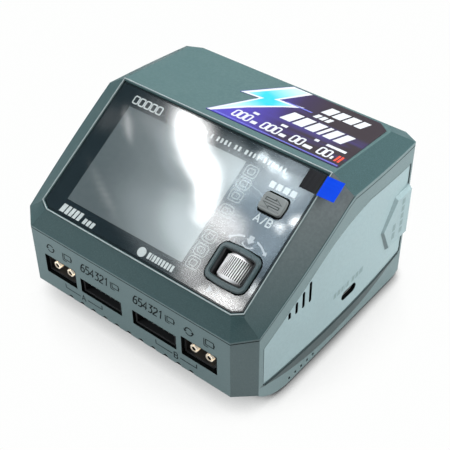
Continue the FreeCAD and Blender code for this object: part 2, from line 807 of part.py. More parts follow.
def cover_blank():
    """Bevelled shell standing on an upright band above the seam."""
    band = case_hull().cut(above_seam(0.0, land_line()))
    outer = cover_form(0.02, 0.15, 1.0).fuse(band.common(above_seam(-1.0)))
    shell = outer.cut(cover_form(size("wall"), 2.0))
    return shell.common(above_seam(size("seam_gap")))


def cover_lip():
    """Tongue that drops inside the case wall."""
    play = size("wall") + 0.15
    ring = plan_prism(play).cut(plan_prism(play + 1.3))
    band = above_seam(-2.5).cut(above_seam(1.8))
    return ring.common(band)


def cover_extras():
    """Panel rim, board posts, and the pads behind the panel, in the panel's frame."""
    gap = size("glass_gap")
    rim = layer(panel_face(gap + size("rim_width")), -0.6, size("rim_rise"))
    rim = rim.cut(layer(panel_face(gap), -1.0, 1.0))
    inner_edges = [e for e in rim.Edges if e.CenterOfMass.z > size("rim_rise") - 1e-6]
    rim = rim.makeChamfer(0.2, inner_edges)
    posts = [Part.makeCylinder(1.7, 5.4, Vector(x, s, -7.4)) for x, s in PANEL_POSTS]
    return rim.multiFuse(posts)


def panel_cutter():
    """Glass recess and the display, wheel, button and screw openings, in the panel's frame."""
    recess = layer(panel_face(size("glass_gap")), -size("glass_thick") - 0.15, 3.0)
    window = Part.makeBox(64.0, 50.0, 6.0, Vector(-43.0, 3.4, -6.0))
    wheel = layer(wheel_outline(BEZEL_INNER, 0.3), -6.0, 1.0)
    button = layer(button_outline(0.3), -6.0, 1.0)
    holes = [Part.makeCylinder(0.95, 4.0, Vector(x, s, -8.0)) for x, s in PANEL_POSTS]
    return recess.multiFuse([window, wheel, button] + holes)


def cover_posts():
    posts = []
    for index, (x, y, top) in enumerate(BOSSES):
        posts.append(rod(f"cover_post_{index}", (x, y, top), "boss_radius", FAR))
    hull = coded("cover_hull", cover_form(0.0, 0.0).fuse(cover_form(0.0, 3.0)))
    rods = common("cover_post_rods", join("cover_post_group", posts), hull)
    inside = coded("cover_post_limit", plan_prism(size("wall") + 0.15))
    return common("cover_posts", rods, inside)


def make_case_cover():
    blank = coded("cover_blank", cover_blank())
    lip = coded("cover_lip", cover_lip())
    extras = on_panel(coded("cover_extras", cover_extras()))
    body = join("cover_body", [blank, lip, cover_posts(), extras])
    tools = [on_panel(coded("panel_cutter", panel_cutter()))]
    for index, (x, y, top) in enumerate(BOSSES):
        tools.append(rod(f"cover_hole_{index}", (x, y, f"{top} - 1"), "screw_radius + 0.03", 9))
    keep(cut("cover_shell", body, tools), "case_cover")


# ---------------------------------------------------------------------------------- side trims

def trim_blank():
    slab = side_shell(size("trim_sink"), size("trim_sink") + size("trim_thick"))
    blank = outward(trim_face(0.0), size("half_width") - 4.0, FAR).common(slab)
    return blank.cut(Part.makeCompound(side_slots(50.0, 62.0)))


def raised_pad():
    """Bevelled pad near the rear edge of the right side."""
    def outline(x, step):
        back = size("trim_back_y")
        corners = [(back, 24.4 + step), (34.0 + 0.6 * step, 24.4 + step), (28.0 + 1.2 * step, 36.9),
                   (37.6 + 0.4 * step, 49.1 - step), (back, 49.1 - step)]
        return Part.makePolygon([Vector(x, y, z) for y, z in corners + corners[:1]])
    return Part.makeLoft([outline(56.6, 0.0), outline(57.6, 0.0), outline(58.9, 1.5)], True, True)


def make_side_trims():
    plain = coded("trim_plain", trim_blank())
    keep(mirrored("trim_left", plain), "side_trim_left")
    shape = trim_blank().fuse(raised_pad()).removeSplitter()
    tool = coded("trim_usb_hole", outward(stadium(9.6, 3.9), 50.0, 62.0))
    slots = coded("trim_right_slots", Part.makeCompound(side_slots(50.0, 62.0)))
    keep(cut("trim_right", coded("trim_padded", shape), [tool, slots]), "side_trim_right")


# ---------------------------------------------------------------------------------- front panel

def make_panel_glass():
    top = -0.1
    glass = layer(panel_face(0.0), top - size("glass_thick"), top)
    wheel = layer(wheel_outline(BEZEL, 0.25), -3.0, 1.0)
    button = layer(button_outline(0.3), -3.0, 1.0)
    keep(on_panel(coded("glass", glass.cut(wheel).cut(button))), "panel_glass")


def make_film():
    low, high = -0.1, 0.1
    sheet_form = layer(panel_face(-0.6), low, high)
    wheel = layer(wheel_outline(BEZEL, 0.45), -3.0, 1.0)
    button = layer(button_outline(0.5), -3.0, 1.0)
    keep(on_panel(coded("film", sheet_form.cut(wheel).cut(button))), "protective_film")
    stuck = box("tab_stuck_end", (41.2, 49.6, 0.1), (7.0, 8.2, 0.2))
    step = box("tab_step", (47.9, 49.6, 0.1), (0.3, 8.2, "rim_rise + 0.15"))
    free = box("tab_free_end", (47.9, 49.6, "rim_rise + 0.05"), (8.5, 8.2, 0.2))
    keep(on_panel(join("tab_sheet", [stuck, step, free])), "film_pull_tab")


def make_display():
    body = new_body("display_module")
    body_face = rectangle(body, "XY_Plane", 63.0, 49.0, (-11.0, 28.5, "-glass_thick - 0.1"))
    pad(body, body_face, 3.0, reverse=True)
    on_panel(body)


def make_wheel_surround():
    ring = layer(wheel_outline(BEZEL), -1.15, 0.95).cut(layer(wheel_outline(BEZEL_INNER), -2.0, 2.0))
    edges = [e for e in ring.Edges if abs(e.CenterOfMass.z - 0.95) < 1e-6]
    ring = ring.makeChamfer(0.45, edges)
    keep(on_panel(coded("bezel", ring)), "wheel_bezel")
    liner = layer(wheel_outline(BEZEL_INNER, -0.03), -2.4, 0.2)
    opening = Part.makeBox(12.3, 10.16, 6.0, Vector(size("wheel_x") - 6.15, size("wheel_s") - 5.08, -4.0))
    keep(on_panel(coded("liner", liner.cut(opening))), "wheel_liner")


RIB_COUNT = 46
RIB_DEPTH = 0.4
RIB_TWIST = 19.0


def ribbed_roller():
    """Roller along its own axis: slanted ribs between two plain chamfered end bands."""
    radius = size("wheel_radius")
    half = size("wheel_length") / 2
    band = 1.15

    def star(z, turn):
        points = []
        for index in range(RIB_COUNT * 4):
            reach = radius if index % 4 in (0, 1) else radius - RIB_DEPTH
            angle = math.radians(turn) + 2 * math.pi * index / (RIB_COUNT * 4)
            points.append(Vector(reach * math.cos(angle), reach * math.sin(angle), z))
        return Part.makePolygon(points + points[:1])

    ribs = Part.makeLoft([star(-half + band, 0.0), star(half - band, RIB_TWIST)], True, True)
    upper = Part.makeCone(radius - 0.1, radius - 1.2, band, Vector(0, 0, half - band))
    lower = Part.makeCone(radius - 0.1, radius - 1.2, band, Vector(0, 0, band - half), Vector(0, 0, -1))
    roller = ribs.fuse(upper).fuse(lower)
    bore = Part.makeCylinder(size("axle_radius"), 2 * half + 2, Vector(0, 0, -half - 1))
    return roller.cut(bore)


def along_slope(obj, s, depth):
    """Place an object whose axis is Z so that the axis runs up the slope at a panel position."""
    sine, cosine = "sin(slope_angle)", "cos(slope_angle)"
    obj.Placement = Placement(Vector(), Rotation(Vector(1, 0, 0), -60))
    bind(obj, "Placement.Base.x", "wheel_x")
    bind(obj, "Placement.Base.y", f"panel_y + ({s}) * {cosine} + ({depth}) * {sine}")
    bind(obj, "Placement.Base.z", f"panel_z + ({s}) * {sine} - ({depth}) * {cosine}")
    bind(obj, "Placement.Rotation.Angle", "90 - slope_angle")
    obj.Placement.Rotation = Rotation(Vector(-1, 0, 0), 90 - size("slope_angle"))
    return obj


def make_wheel():
    keep(along_slope(coded("roller", ribbed_roller()), "wheel_s", "wheel_depth"), "scroll_wheel")
    axle = new_body("wheel_axle")
    pad(axle, circle(axle, "XY_Plane", "axle_radius", (0, 0, -6.3)), 12.6)
    along_slope(axle, "wheel_s", "wheel_depth")


def make_wheel_carriage():
    """Fork that carries the axle and slides into the panel with it."""
    arms = []
    for index, side in enumerate((-1, 1)):
        corner = ("wheel_x - 2.6", f"wheel_s + {side * 5.9} - 0.6", -13.0)
        arms.append(box(f"carriage_arm_{index}", corner, (5.2, 1.2, 10.1)))
    plate = box("carriage_plate", ("wheel_x - 6.7", "wheel_s - 6.6", -13.4), (13.4, 13.2, 1.4))
    bore_start = ("wheel_x", "wheel_s - 8", "-wheel_depth")
    bore = rod("carriage_bore", bore_start, "axle_radius + running_gap", 16, "y")
    keep(on_panel(cut("carriage", join("carriage_fork", arms + [plate]), [bore])), "wheel_carriage")


def make_wheel_guide():
    """Bracket under the board that guides the carriage and holds its switch."""
    body = new_body("wheel_guide")
    at = ("wheel_x", "wheel_s", -9.0)
    pad(body, rectangle(body, "XY_Plane", 16.4, 16.0, at), 10.2, reverse=True)
    pad(body, rectangle(body, "XY_Plane", 19.6, 16.0, at), 1.0, reverse=True)
    pocket(body, rectangle(body, "XY_Plane", 13.9, 13.7, at), 9.2)
    on_panel(body)
    switch = new_body("wheel_switch")
    base = ("wheel_x", "wheel_s", -18.2)
    pad(switch, rectangle(switch, "XY_Plane", 6.2, 6.2, base), 3.6)
    hole = ("wheel_x", "wheel_s", -14.6)
    pocket(switch, circle(switch, "XY_Plane", "1.5 + running_gap", hole), 2.8)
    on_panel(switch)
    plunger = new_body("wheel_switch_plunger")
    pad(plunger, circle(plunger, "XY_Plane", 1.5, ("wheel_x", "wheel_s", -16.6)), 3.2)
    on_panel(plunger)


def make_button():
    cap = layer(button_outline(), -2.95, size("button_rise"))
    top_edges = [e for e in cap.Edges if abs(e.CenterOfMass.z - size("button_rise")) < 1e-6]
    cap = cap.makeFillet(0.35, top_edges)
    flange = layer(button_outline(1.1), -3.9, -2.9)
    stem = Part.makeCylinder(1.6, 0.8, Vector(size("button_x"), size("button_s"), -4.6))
    keep(on_panel(coded("button", cap.fuse(flange).fuse(stem))), "port_button")
    switch = new_body("button_switch")
    pad(switch, rectangle(switch, "XY_Plane", 6.2, 6.2, ("button_x", "button_s", -7.4)), 1.8)
    hole = ("button_x", "button_s", -5.6)
    pocket(switch, circle(switch, "XY_Plane", "1.5 + running_gap", hole), 1.6)
    on_panel(switch)
    plunger = new_body("button_plunger")
    pad(plunger, circle(plunger, "XY_Plane", 1.5, ("button_x", "button_s", -6.5)), 1.9)
    on_panel(plunger)


def make_ui_board():
    body = new_body("ui_board")
    pad(body, rectangle(body, "XY_Plane", 93.0, 53.0, (0, 29.0, -9.0)), "board_thick")
    pocket(body, rectangle(body, "XY_Plane", 14.2, 14.0, ("wheel_x", "wheel_s", -7.4)), "board_thick")
    for x, s in PANEL_POSTS:
        pocket(body, circle(body, "XY_Plane", 1.05, (x, s, -7.4)), "board_thick")
    on_panel(body)
    screws = []
    for index, (x, s) in enumerate(PANEL_POSTS):
        shank = rod(f"ui_shank_{index}", (x, s, -9.5), 0.9, 4.9)
        head = rod(f"ui_head_{index}", (x, s, -10.2), 1.8, 1.2)
        screws.append(join(f"ui_screw_{index}", [shank, head]))
    keep(on_panel(group("ui_screw_group", screws)), "ui_screws")
    radio = new_body("radio_module")
    pad(radio, rectangle(radio, "XY_Plane", 18.0, 13.0, (-30.0, 36.0, -9.0)), 2.2, reverse=True)
    on_panel(radio)
    buzzer = new_body("buzzer")
    pad(buzzer, circle(buzzer, "XY_Plane", 6.0, (-6.0, 13.0, -9.0)), 4.5, reverse=True)
    pocket(buzzer, circle(buzzer, "XY_Plane", 1.0, (-6.0, 13.0, -13.5)), 1.0, reverse=True)
    on_panel(buzzer)


def make_top_label():
    """Thin sticker on the right of the top, with a zigzag left edge."""
    outline = [(-11.0, 3.7), (49.0, 3.7), (48.4, 37.5), (43.8, 40.9), (3.0, 41.3), (-10.0, 23.3), (-1.3, 24.3)]
    face = Part.Face(Part.makePolygon([Vector(x, t, 0) for x, t in outline + outline[:1]]))
    label = coded("label", face.extrude(Vector(0, 0, 0.18)))
    fold = slope_point(0, (size("fold_y") - size("panel_y")) / math.cos(math.radians(size("slope_angle"))))
    run = size("crown_back_y") - size("fold_y")
    fall = math.degrees(math.atan2(fold.z - size("crown_back_z"), run))
    label.Placement = Placement(Vector(0, fold.y, fold.z), Rotation(Vector(1, 0, 0), -fall))
    keep(label, "top_label")


# ------------------------------------------------------------------------------------- sockets

def keyed_block(half, tall, key, start, end):
    """Connector block along Y with the two right-hand corners cut off to key the plug."""
    outline = [(-half, -tall), (half - key, -tall), (half, key - tall),
               (half, tall - key), (half - key, tall), (-half, tall)]
    face = polygon([Vector(x, start, z) for x, z in outline])
    return face.extrude(Vector(0, end - start, 0))


def make_output_sockets():
    """Output connectors: a keyed black shroud with two split brass pins standing in it."""
    housings = []
    pins = []
    front = size("front_y")
    for index, x in enumerate(OUTPUT_SIDES):
        shroud = keyed_block(8.0, 4.1, 2.4, front + 1.3, front + 16.5)
        well = keyed_block(7.15, 3.25, 1.9, front + 1.0, front + 11.5)
        shell = put(coded(f"output_shroud_{index}", shroud.cut(well)), (x, 0, "out_z - 0.1"))
        seats = []
        for side in (-3.6, 3.6):
            tag = f"{index}_{'left' if side < 0 else 'right'}"
            centre = f"{x} + {side}"
            tube = rod(f"pin_tube_{tag}", (centre, "front_y + 2.6", "out_z - 0.1"), 1.75, 11.9, "y")
            core = rod(f"pin_core_{tag}", (centre, "front_y + 2.5", "out_z - 0.1"), 0.95, 7.5, "y")
            up = box(f"pin_slit_up_{tag}", (f"{centre} - 0.25", "front_y + 2.5", "out_z - 3.1"), (0.5, 6.5, 6))
            flat = box(f"pin_slit_flat_{tag}", (f"{centre} - 3", "front_y + 2.5", "out_z - 0.35"), (6, 6.5, 0.5))
            pins.append(cut(f"output_pin_{tag}", tube, [core, up, flat]))
            seats.append(rod(f"pin_seat_{tag}", (centre, "front_y + 11", "out_z - 0.1"), 1.75, 3.5, "y"))
        housings.append(cut(f"output_housing_{index}", shell, seats))
    keep(group("output_housing_pair", housings), "output_housings")
    keep(group("output_pin_set", pins), "output_contacts")


PIN_PITCH = 2.5
PIN_COUNT = 7


def make_balance_sockets():
    """Shrouded headers with notches in the upper wall, and their bent square pins."""
    housings = []
    pins = []
    for index, x in enumerate(BALANCE_SIDES):
        block = box(f"balance_block_{index}", (f"{x} - 10.2", "front_y + 0.9", "board_top"), (20.4, 8.2, 6.2))
        cavity = box(f"balance_cavity_{index}", (f"{x} - 9.3", "front_y", "board_top + 0.9"), (18.6, 7.9, 4.5))
        tools = [cavity]
        for notch in (-6.2, 0.0, 6.2):
            corner = (f"{x} + {notch} - 1.2", "front_y", "board_top + 5")
            tools.append(box(f"balance_notch_{index}_{len(tools)}", corner, (2.4, 5.5, 3)))
        for pin in range(PIN_COUNT):
            px = f"{x} + {(pin - (PIN_COUNT - 1) / 2) * PIN_PITCH}"
            tag = f"{index}_{pin}"
            run = box(f"pin_run_{tag}", (f"{px} - 0.32", "front_y + 2.4", "bal_z - 0.6"), (0.64, 8, 0.64))
            leg = box(f"pin_leg_{tag}", (f"{px} - 0.32", "front_y + 9.76", "board_top"), (0.64, 0.64, "bal_z - board_top"))
            pins.append(join(f"pin_{tag}", [run, leg]))
            hole = (f"{px} - 0.32", "front_y + 7", "bal_z - 0.6")
            tools.append(box(f"pin_hole_{tag}", hole, (0.64, 3, 0.64)))
        housings.append(cut(f"balance_housing_{index}", block, tools))
    keep(group("balance_housing_pair", housings), "balance_housings")
    keep(group("pin_set", pins), "balance_pins")


def make_usb_socket():
    outer = outward(stadium(9.0, 3.26), 49.6, 57.2)
    inner = outward(stadium(8.4, 2.66), 50.4, 60.0)
    keep(coded("usb_tube", outer.cut(inner)), "usb_shell")
    tongue = new_body("usb_tongue")
    pad(tongue, rectangle(tongue, "YZ_Plane", 6.6, 0.7, ("usb_y", "usb_z", 50.4)), 4.8)
    board = new_body("usb_board")
    pad(board, rectangle(board, "XY_Plane", 8.0, 15.0, (50.0, "usb_y", "usb_z - 1.63")), 1.0, reverse=True)


def make_inlets():
    """Mains inlet with two round pins and a direct-current inlet, both in the back wall."""
    flange = box("ac_body", ("inlet_x - 10.2", "back_y - 16", "ac_z - 6.7"), (20.4, 16.3, 13.4))
    lobes = [
        rod(f"ac_lobe_{index}", (f"inlet_x + {x}", "back_y - 13.5", "ac_z"), 4.4, 15, "y")
        for index, x in enumerate((-4.3, 4.3))
    ]
    keep(cut("ac_housing", flange, lobes), "ac_inlet")
    pins = [
        rod(f"ac_pin_{index}", (f"inlet_x + {x}", "back_y - 13.5", "ac_z"), 1.2, 10, "y")
        for index, x in enumerate((-4.3, 4.3))
    ]
    keep(group("ac_pin_pair", pins), "ac_pins")
    back = size("back_y")
    block = keyed_block(8.1, 4.1, 2.4, back - 16.0, back + 0.3)
    well = keyed_block(7.2, 3.2, 1.9, back - 10.0, back + 2.0)
    keep(put(coded("dc_housing", block.cut(well)), ("inlet_x", 0, "dc_z")), "dc_inlet")
    studs = [
        rod(f"dc_stud_{index}", (f"inlet_x + {x}", "back_y - 10", "dc_z"), 1.75, 8.5, "y")
        for index, x in enumerate((-3.6, 3.6))
    ]
    keep(group("dc_stud_pair", studs), "dc_contacts")


# ------------------------------------------------------------------------------------- fan

BLADE_COUNT = 7


def fan_blades():
    """Rotor along Z: a closed cup with twisted blades."""
    hub = Part.makeCylinder(12.0, 9.5).cut(Part.makeCylinder(10.6, 8.0, Vector(0, 0, 1.6)))
    blades = []
    for index in range(BLADE_COUNT):
        sections = []
        for reach, pitch, chord in ((11.6, 38.0, 9.0), (17.0, 30.0, 11.0), (22.6, 24.0, 12.0)):
            sine, cosine = math.sin(math.radians(pitch)), math.cos(math.radians(pitch))
            half = chord / 2
            low = Vector(reach, -half * cosine, 4.6 - half * sine * 0.9)
            high = Vector(reach, half * cosine, 4.6 + half * sine * 0.9)
            thick = Vector(0, -sine, cosine) * 0.55
            sections.append(Part.makePolygon([low - thick, high - thick, high + thick, low + thick, low - thick]))
        blade = Part.makeLoft(sections, True, True)
        blade.rotate(Vector(), Vector(0, 0, 1), 360.0 * index / BLADE_COUNT)
        blades.append(blade)
    return hub.multiFuse(blades).removeSplitter()


def make_fan():
    back = "back_y - wall"
    frame = box("fan_block", ("fan_x - fan_side / 2", f"{back} - fan_deep", "fan_z - fan_side / 2"),
                ("fan_side", "fan_deep", "fan_side"))
    bore = rod("fan_bore", ("fan_x", f"{back} - fan_deep - 1", "fan_z"), 23.4, "fan_deep + 2", "y")
    holes = [
        rod(f"fan_frame_hole_{index}", (f"fan_x + {x}", f"{back} - fan_deep - 1", f"fan_z + {z}"),
            "screw_radius + 0.03", "fan_deep + 2", "y")
        for index, (x, z) in enumerate(FAN_HOLES)
    ]
    shell = cut("fan_shell", frame, [bore] + holes)
    hub = rod("fan_hub", ("fan_x", f"{back} - 1.8", "fan_z"), 11.5, 1.8, "y")
    struts = [
        box("fan_strut_flat", ("fan_x - 24", f"{back} - 1.8", "fan_z - 1.4"), (48, 1.8, 2.8)),
        box("fan_strut_up", ("fan_x - 1.4", f"{back} - 1.8", "fan_z - 24"), (2.8, 1.8, 48)),
    ]
    keep(join("fan_assembly", [shell, hub] + struts), "fan_frame")
    sleeve = rod("bearing_sleeve", ("fan_x", f"{back} - 9.8", "fan_z"), 3.2, 8, "y")
    sleeve_bore = rod("bearing_bore", ("fan_x", f"{back} - 10", "fan_z"), "1.5 + running_gap", 9, "y")
    keep(cut("bearing", sleeve, [sleeve_bore]), "fan_bearing")
    rotor = coded("rotor", fan_blades())
    keep(put(rotor, ("fan_x", f"{back} - 13", "fan_z"), AXIS_TURN["y"]), "fan_rotor")
    shaft = new_body("fan_shaft")
    pad(shaft, circle(shaft, "XY_Plane", 1.5), 8.8)
    put(shaft, ("fan_x", f"{back} - 11.4", "fan_z"), AXIS_TURN["y"])
    screws = []
    for index, (x, z) in enumerate(FAN_HOLES):
        start = (f"fan_x + {x}", "back_y - 12", f"fan_z + {z}")
        shank = rod(f"fan_screw_shank_{index}", start, "screw_radius", 11, "y")
        sink = (f"fan_x + {x}", "back_y - 1.5", f"fan_z + {z}")
        head = cone(f"fan_screw_head_{index}", sink, "screw_radius", "screw_radius + 1.4", 1.5, "y")
        slot = box(f"fan_screw_slot_{index}", (f"fan_x + {x} - 1.8", "back_y - 0.6", f"fan_z + {z} - 0.35"), (3.6, 2, 0.7))
        screws.append(cut(f"fan_screw_{index}", join(f"fan_screw_blank_{index}", [shank, head]), [slot]))
    keep(group("fan_screw_set", screws), "fan_screws")


# ------------------------------------------------------------------------------------- internals

def make_main_board():
    body = new_body("main_board")
    pad(body, rectangle(body, "XY_Plane", 92.0, 43.0, (0, -28.0, "board_top - board_thick")), "board_thick")
    for x, y in BOARD_POSTS:
        pocket(body, circle(body, "XY_Plane", 1.6, (x, y, "board_top")), "board_thick")
    screws = []
    for index, (x, y) in enumerate(BOARD_POSTS):
        shank = rod(f"board_shank_{index}", (x, y, "board_top - board_thick - 6"), 1.25, 8)
        head = rod(f"board_head_{index}", (x, y, "board_top"), 2.4, 1.5)
        screws.append(join(f"board_screw_{index}", [shank, head]))
    for index, (x, y) in enumerate(POWER_POSTS):
        shank = rod(f"power_shank_{index}", (x, y, 2.6), 1.25, 6)
        head = rod(f"power_head_{index}", (x, y, 7.8), 2.4, 1.5)
        screws.append(join(f"power_screw_{index}", [shank, head]))
    keep(group("board_screw_set", screws), "board_screws")
    chip = new_body("control_chip")
    pad(chip, rectangle(chip, "XY_Plane", 12.0, 12.0, (-8.0, -17.0, "board_top")), 1.5)
    transistors = [
        box(f"transistor_{index}", (f"{x} - 4", -24, "board_top"), (8, 9, 2.4))
        for index, x in enumerate((-38, -28, 28, 38))
    ]
    keep(group("transistor_set", transistors), "power_transistors")
    coils = [
        cut(f"coil_{index}", box(f"coil_block_{index}", (f"{x} - 6", -36, "board_top"), (12, 12, 7)),
            [rod(f"coil_dimple_{index}", (x, -30, "board_top + 6.5"), 3, 2)])
        for index, x in enumerate((-12, 12))
    ]
    keep(group("coil_set", coils), "output_coils")
    cans = [
        rod(f"output_can_{index}", (x, -29.5, "board_top"), 4, 10)
        for index, x in enumerate((-34.5, -25.5, 25.5, 34.5))
    ]
    keep(group("output_can_set", cans), "output_capacitors")
    ribbon = new_body("board_ribbon")
    pad(ribbon, rectangle(ribbon, "XY_Plane", 20.0, 0.5, (12.0, -16.4, "board_top")), 34.5)


def make_power_board():
    body = new_body("power_board")
    pad(body, rectangle(body, "XY_Plane", 90.0, 51.0, (0, 23.0, 6.2)), "board_thick")
    for x, y in POWER_POSTS:
        pocket(body, circle(body, "XY_Plane", 1.6, (x, y, "6.2 + board_thick")), "board_thick")
    cushion = new_body("thermal_pad")
    pad(cushion, rectangle(cushion, "XY_Plane", 30.0, 24.0, (-20.0, 18.0, 7.8)), 0.5)
    sink = new_body("heatsink")
    pad(sink, rectangle(sink, "XY_Plane", 38.0, 27.0, (-20.0, 18.0, 8.3)), 3.0)
    fin = pad(sink, rectangle(sink, "XY_Plane", 1.2, 27.0, (-38.4, 18.0, 11.3)), 22.0)
    linear_pattern(sink, fin, "X_Axis", 36.8, 9)
    core = new_body("transformer_core")
    pad(core, rectangle(core, "XY_Plane", 24.0, 24.0, (17.0, 18.0, 7.8)), 22.0)
    pocket(core, rectangle(core, "XZ_Plane", 16.0, 15.0, (17.0, 18.8, -6.0)), 24.0, reverse=False)
    winding = new_body("transformer_winding")
    pad(winding, rectangle(winding, "XY_Plane", 15.6, 20.0, (17.0, 18.0, 11.3)), 14.6)
    cans = [
        rod(f"bulk_can_{index}", (38, y, 7.8), 6, 24)
        for index, y in enumerate((11.5, 25.0))
    ]
    keep(group("bulk_can_set", cans), "bulk_capacitors")
    fuse = new_body("fuse")
    pad(fuse, circle(fuse, "YZ_Plane", 2.6, (34.0, 10.4, 6.0)), 20.0)
    choke = new_body("choke")
    ring = pad(choke, circle(choke, "XY_Plane", 6.0, (14.0, 43.4, 7.8)), 5.0)
    ring = pocket(choke, circle(choke, "XY_Plane", 2.6, (14.0, 43.4, 12.8)), 5.0)
    rounding = choke.newObject("PartDesign::Fillet", "choke_fillet")
    rounding.Base = (ring, [f"Edge{i}" for i, e in enumerate(ring.Shape.Edges, 1) if len(e.Vertexes) == 1])
    rounding.Radius = 1.1


def make_cables():
    edge = size("fan_x") + size("fan_side") / 2
    fan_lead = [Vector(edge + 1.8, 38, 7.8), Vector(edge + 1.8, 38, 14), Vector(edge, 38, 14)]
    keep(coded("fan_lead", pipe(fan_lead, 0.9, 1.5)), "fan_cable")
    mains = [
        pipe([Vector(x, 37, size("ac_z")), Vector(x, 34.4, size("ac_z")), Vector(x, 34.4, 7.8)], 1.1, 1.6)
        for x in (30.0, 34.2)
    ]
    keep(coded("mains_leads", Part.makeCompound(mains)), "ac_wires")
    supply = [
        pipe([Vector(x, 37, size("dc_z")), Vector(x, -7.5, size("dc_z")), Vector(x, -7.5, size("board_top"))], 1.6, 5.0)
        for x in (26.4, 33.6)
    ]
    keep(coded("supply_leads", Part.makeCompound(supply)), "dc_wires")


def make_fasteners_and_feet():
    screws = []
    for index, (x, y, top) in enumerate(BOSSES):
        shank = rod(f"case_shank_{index}", (x, y, f"{top} - 5.5"), "screw_radius", 13)
        head = rod(f"case_head_{index}", (x, y, f"{top} - 7.4"), "screw_radius * 1.9", 2.4)
        drive = rod(f"case_drive_{index}", (x, y, f"{top} - 8"), 1.1, 1.6)
        screws.append(cut(f"case_screw_{index}", join(f"case_screw_blank_{index}", [shank, head]), [drive]))
    keep(group("case_screw_set", screws), "case_screws")
    feet = [
        rod(f"foot_{index}", (x, y, 0), "foot_radius", "base_z + 0.6")
        for index, (x, y) in enumerate(FEET)
    ]
    keep(group("foot_set", feet), "feet")


# --------------------------------------------------------------------------------------- build

BUILDERS = [
    make_case_base,
    make_case_cover,
    make_side_trims,
    make_panel_glass,
    make_film,
    make_display,
    make_wheel_surround,
    make_wheel,
    make_wheel_carriage,
    make_wheel_guide,
    make_button,
    make_ui_board,
    make_top_label,
    make_output_sockets,
    make_balance_sockets,
    make_usb_socket,
    make_inlets,
    make_fan,
    make_main_board,
    make_power_board,
    make_cables,
    make_fasteners_and_feet,
]


def check_document():
    """Stop before writing anything if an object failed or a sub-part is not a valid solid."""
    for obj in doc.Objects:
        if "Invalid" in obj.State or "Error" in obj.State:
            raise RuntimeError(f"{obj.Name} ({obj.Label}) failed: {obj.State}")
    for obj in SUB_PARTS:
        shape = obj.Shape
        if shape.isNull() or not shape.isValid() or not shape.Solids or shape.Volume <= 0:
            raise RuntimeError(f"{obj.Label} is not a valid solid")


def export_parts():
    os.makedirs("parts", exist_ok=True)
    for obj in SUB_PARTS:
        obj.Shape.exportStep(f"parts/{obj.Label}.step")
        print(f"{obj.Label}: {len(obj.Shape.Solids)} solid(s), {obj.Shape.Volume:.1f} mm3")


for build in BUILDERS:
    build()
doc.recompute()
check_document()
export_parts()
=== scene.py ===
import json
import math
import random

import bpy
from mathutils import Matrix, Vector


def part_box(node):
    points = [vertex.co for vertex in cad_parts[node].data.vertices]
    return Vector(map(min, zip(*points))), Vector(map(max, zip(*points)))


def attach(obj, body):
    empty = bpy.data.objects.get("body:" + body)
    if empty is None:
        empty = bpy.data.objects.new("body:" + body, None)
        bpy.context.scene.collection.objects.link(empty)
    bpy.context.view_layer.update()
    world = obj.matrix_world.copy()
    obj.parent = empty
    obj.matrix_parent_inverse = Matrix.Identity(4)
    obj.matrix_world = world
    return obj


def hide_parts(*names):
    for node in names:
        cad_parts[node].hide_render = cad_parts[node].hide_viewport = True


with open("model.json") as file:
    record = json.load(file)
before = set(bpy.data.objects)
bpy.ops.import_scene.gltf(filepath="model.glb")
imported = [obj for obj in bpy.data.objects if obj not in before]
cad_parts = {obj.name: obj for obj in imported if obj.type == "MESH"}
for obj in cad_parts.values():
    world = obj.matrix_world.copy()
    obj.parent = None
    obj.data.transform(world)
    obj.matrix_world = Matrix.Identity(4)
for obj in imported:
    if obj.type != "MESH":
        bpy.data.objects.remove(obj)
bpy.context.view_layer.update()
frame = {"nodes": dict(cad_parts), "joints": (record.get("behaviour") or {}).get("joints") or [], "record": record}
record = frame["record"]
joints = {joint["name"]: joint for joint in frame["joints"]}
MM = 0.001
random.seed(7)

# ------------------------------------------------------------------ places on the object

UP_SLOPE = Vector(joints["wheel_spin"]["axis"]).normalized()
PANEL_OUT = -Vector(joints["wheel_press"]["axis"]).normalized()
glass_low, glass_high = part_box("panel_glass")
GLASS_TOP = -0.1
GLASS_FLOOR = -1.1
PANEL_ORIGIN = Vector((0.0,
                       glass_low.y - PANEL_OUT.y * GLASS_TOP * MM,
                       glass_low.z - PANEL_OUT.z * GLASS_FLOOR * MM))
case_low, case_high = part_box("case_base")
label_low, label_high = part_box("top_label")
LABEL_THICK = 0.18
top_tilt = 0.0
for _ in range(4):
    top_tilt = math.atan2(label_high.z - label_low.z - LABEL_THICK * MM * math.cos(top_tilt),
                          label_high.y - label_low.y - LABEL_THICK * MM * math.sin(top_tilt))
TOP_BACK = Vector((0.0, math.cos(top_tilt), -math.sin(top_tilt)))
TOP_OUT = Vector((0.0, math.sin(top_tilt), math.cos(top_tilt)))
LABEL_START = 2.6
TOP_ORIGIN = Vector((0.0, label_low.y, label_high.z)) - TOP_OUT * LABEL_THICK * MM - TOP_BACK * LABEL_START * MM
trim_low, trim_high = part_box("side_trim_left")


def on_panel(x, s, n=0.0):
    """Point in the panel's frame: across, up the slope, out of the panel, in millimetres."""
    return Vector((x * MM, 0, 0)) + PANEL_ORIGIN + UP_SLOPE * s * MM + PANEL_OUT * n * MM


def on_top(x, t, n=0.0):
    return Vector((x * MM, 0, 0)) + TOP_ORIGIN + TOP_BACK * t * MM + TOP_OUT * n * MM


def on_front(x, z, n=0.0):
    return Vector((x * MM, case_low.y - n * MM, z * MM))


def on_button(x, s, n=0.0):
    return on_panel(x, s, BUTTON_TOP + n)


BUTTON_TOP = 1.7

# ------------------------------------------------------------------ meshes


